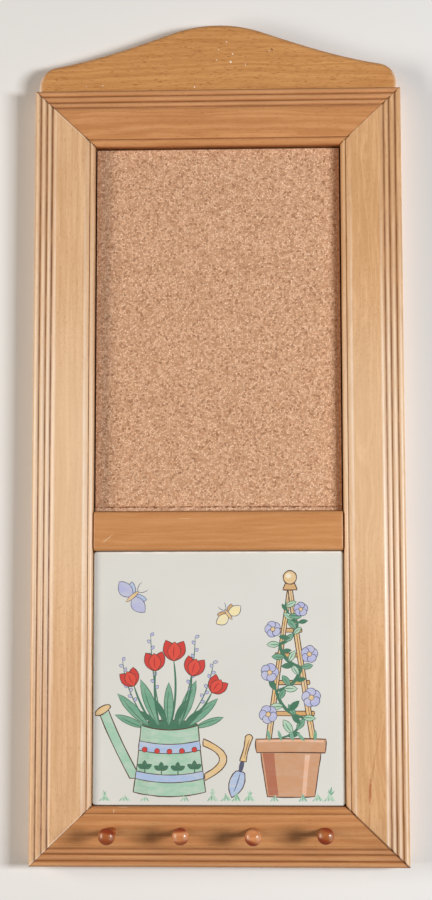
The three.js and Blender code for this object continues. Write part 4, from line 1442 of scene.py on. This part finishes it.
# %% Materials of the back
dowel_finish, look = new_material("raw dowel", Roughness=0.75)
figure = use_group(hardwood, Vector=placed(along_z, shift=(7, 3, 1)), Light=(0.74, 0.55, 0.34, 1),
                   Dark=(0.6, 0.4, 0.22, 1), Bands=0.4, Flecks=0.3)
feed(look["Base Color"], figure["Color"])

panel_finish, look = new_material("hardboard", Roughness=0.7, Specular_IOR_Level=0.3)
spread = placed()
fluff = remap(speckle(spread, 0.8, 5.0, 0.7), 0.3, 0.7)
feed(look["Base Color"], blend(fluff, (0.15, 0.065, 0.03, 1), (0.27, 0.14, 0.07, 1)))
screen = put("TexVoronoi", distance="CHEBYCHEV", Vector=spread, Scale=0.55, Randomness=0.08)
emboss(look, screen.outputs["Distance"], 0.6, 0.4 * mm)

steel_finish, look = new_material("zinc plated steel", Metallic=1.0)
bloom = remap(speckle(placed(), 0.5, 4.0), 0.3, 0.7)
feed(look["Base Color"], blend(bloom, (0.50, 0.50, 0.51, 1), (0.66, 0.67, 0.68, 1)))
feed(look["Roughness"], calculate("MULTIPLY_ADD", bloom, 0.18, 0.28))

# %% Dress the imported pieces
edge_round = 0.12 * mm

for name in nodes:
    if "dowel" in name:
        finish = dowel_finish
    elif name == "back_panel":
        finish = panel_finish
    elif any(word in name for word in ("wedge", "point", "hanger")):
        finish = steel_finish
    else:
        continue
    piece = nodes[name]
    coat(piece, finish)
    if finish == steel_finish:
        piece.modifiers.new("weld", "WELD").merge_threshold = weld_gap
        edges = piece.modifiers.new("round edges", "BEVEL")
        edges.width = edge_round
        edges.segments = 2
        edges.angle_limit = math.radians(40.0)

# %% [markdown]
# ## Light and wall
# Two soft boxes stand to the left and right, as on a copy stand. The right one is small and near, so
# the pegs throw clear shadows to the left, and the left one is large and warm and fills them. A
# third lamp lights the back, which the photograph doesn't show. The wall is pale and plain, and from
# behind it lets the camera through.

# %% Wall
wall_gap = 0.3 * mm
wall_spot = Vector((0.0, cad_box[1].y + wall_gap, frame_middle))
bpy.ops.object.select_all(action="DESELECT")
bpy.ops.mesh.primitive_plane_add(size=4.0, location=wall_spot, rotation=(quarter_turn, 0.0, 0.0))
wall = bpy.context.object
wall.name = "wall"
bake_place()
wall.visible_shadow = False
wall_paint, look = new_material("wall paint", Base_Color=(0.78, 0.78, 0.775, 1.0), Roughness=0.95,
                                Specular_IOR_Level=0.1)
paint_nodes = wall_paint.node_tree.nodes
one_sided = put("MixShader", Fac=put("NewGeometry").outputs["Backfacing"])
feed(one_sided.inputs[1], paint_nodes["Principled BSDF"].outputs["BSDF"])
feed(one_sided.inputs[2], put("BsdfTransparent").outputs["BSDF"])
feed(paint_nodes["Material Output"].inputs["Surface"], one_sided.outputs["Shader"])
wall.data.materials.append(wall_paint)

# %% Lamps and world
def soft_box(name, spot, width, height, power, tint):
    bpy.ops.object.light_add(type="AREA", location=spot)
    lamp = bpy.context.object
    lamp.name = name
    towards = Vector((0.0, 0.0, frame_middle)) - Vector(spot)
    lamp.rotation_euler = towards.to_track_quat("-Z", "Y").to_euler()
    lamp.data.shape = "RECTANGLE"
    lamp.data.size = width
    lamp.data.size_y = height
    lamp.data.energy = power
    lamp.data.color = tint


soft_box("right_soft_box", (1.05, -1.15, -0.29), 0.5, 0.26, 22.0, (1.0, 1.0, 1.0))
soft_box("left_soft_box", (-1.4, -0.85, -0.29), 0.55, 0.9, 20.5, (1.0, 0.92, 0.82))
soft_box("back_light", (0.6, 1.2, 0.3), 0.8, 0.8, 18.0, (1.0, 1.0, 1.0))

ambient_level = 0.015
backdrop_level = 0.7
world = bpy.data.worlds.new("studio")
bpy.context.scene.world = world
world.use_nodes = True
desk.append(world.node_tree)
sky = world.node_tree.nodes["Background"].inputs
sky["Color"].default_value = (1.0, 1.0, 1.0, 1.0)
rays = put("LightPath").outputs
seen = calculate("MAXIMUM", rays["Is Camera Ray"], rays["Is Glossy Ray"])
seen = calculate("MAXIMUM", seen, rays["Is Transmission Ray"])
feed(sky["Strength"], calculate("MULTIPLY_ADD", seen, backdrop_level - ambient_level, ambient_level))
bpy.context.scene.view_settings.view_transform = "Standard"
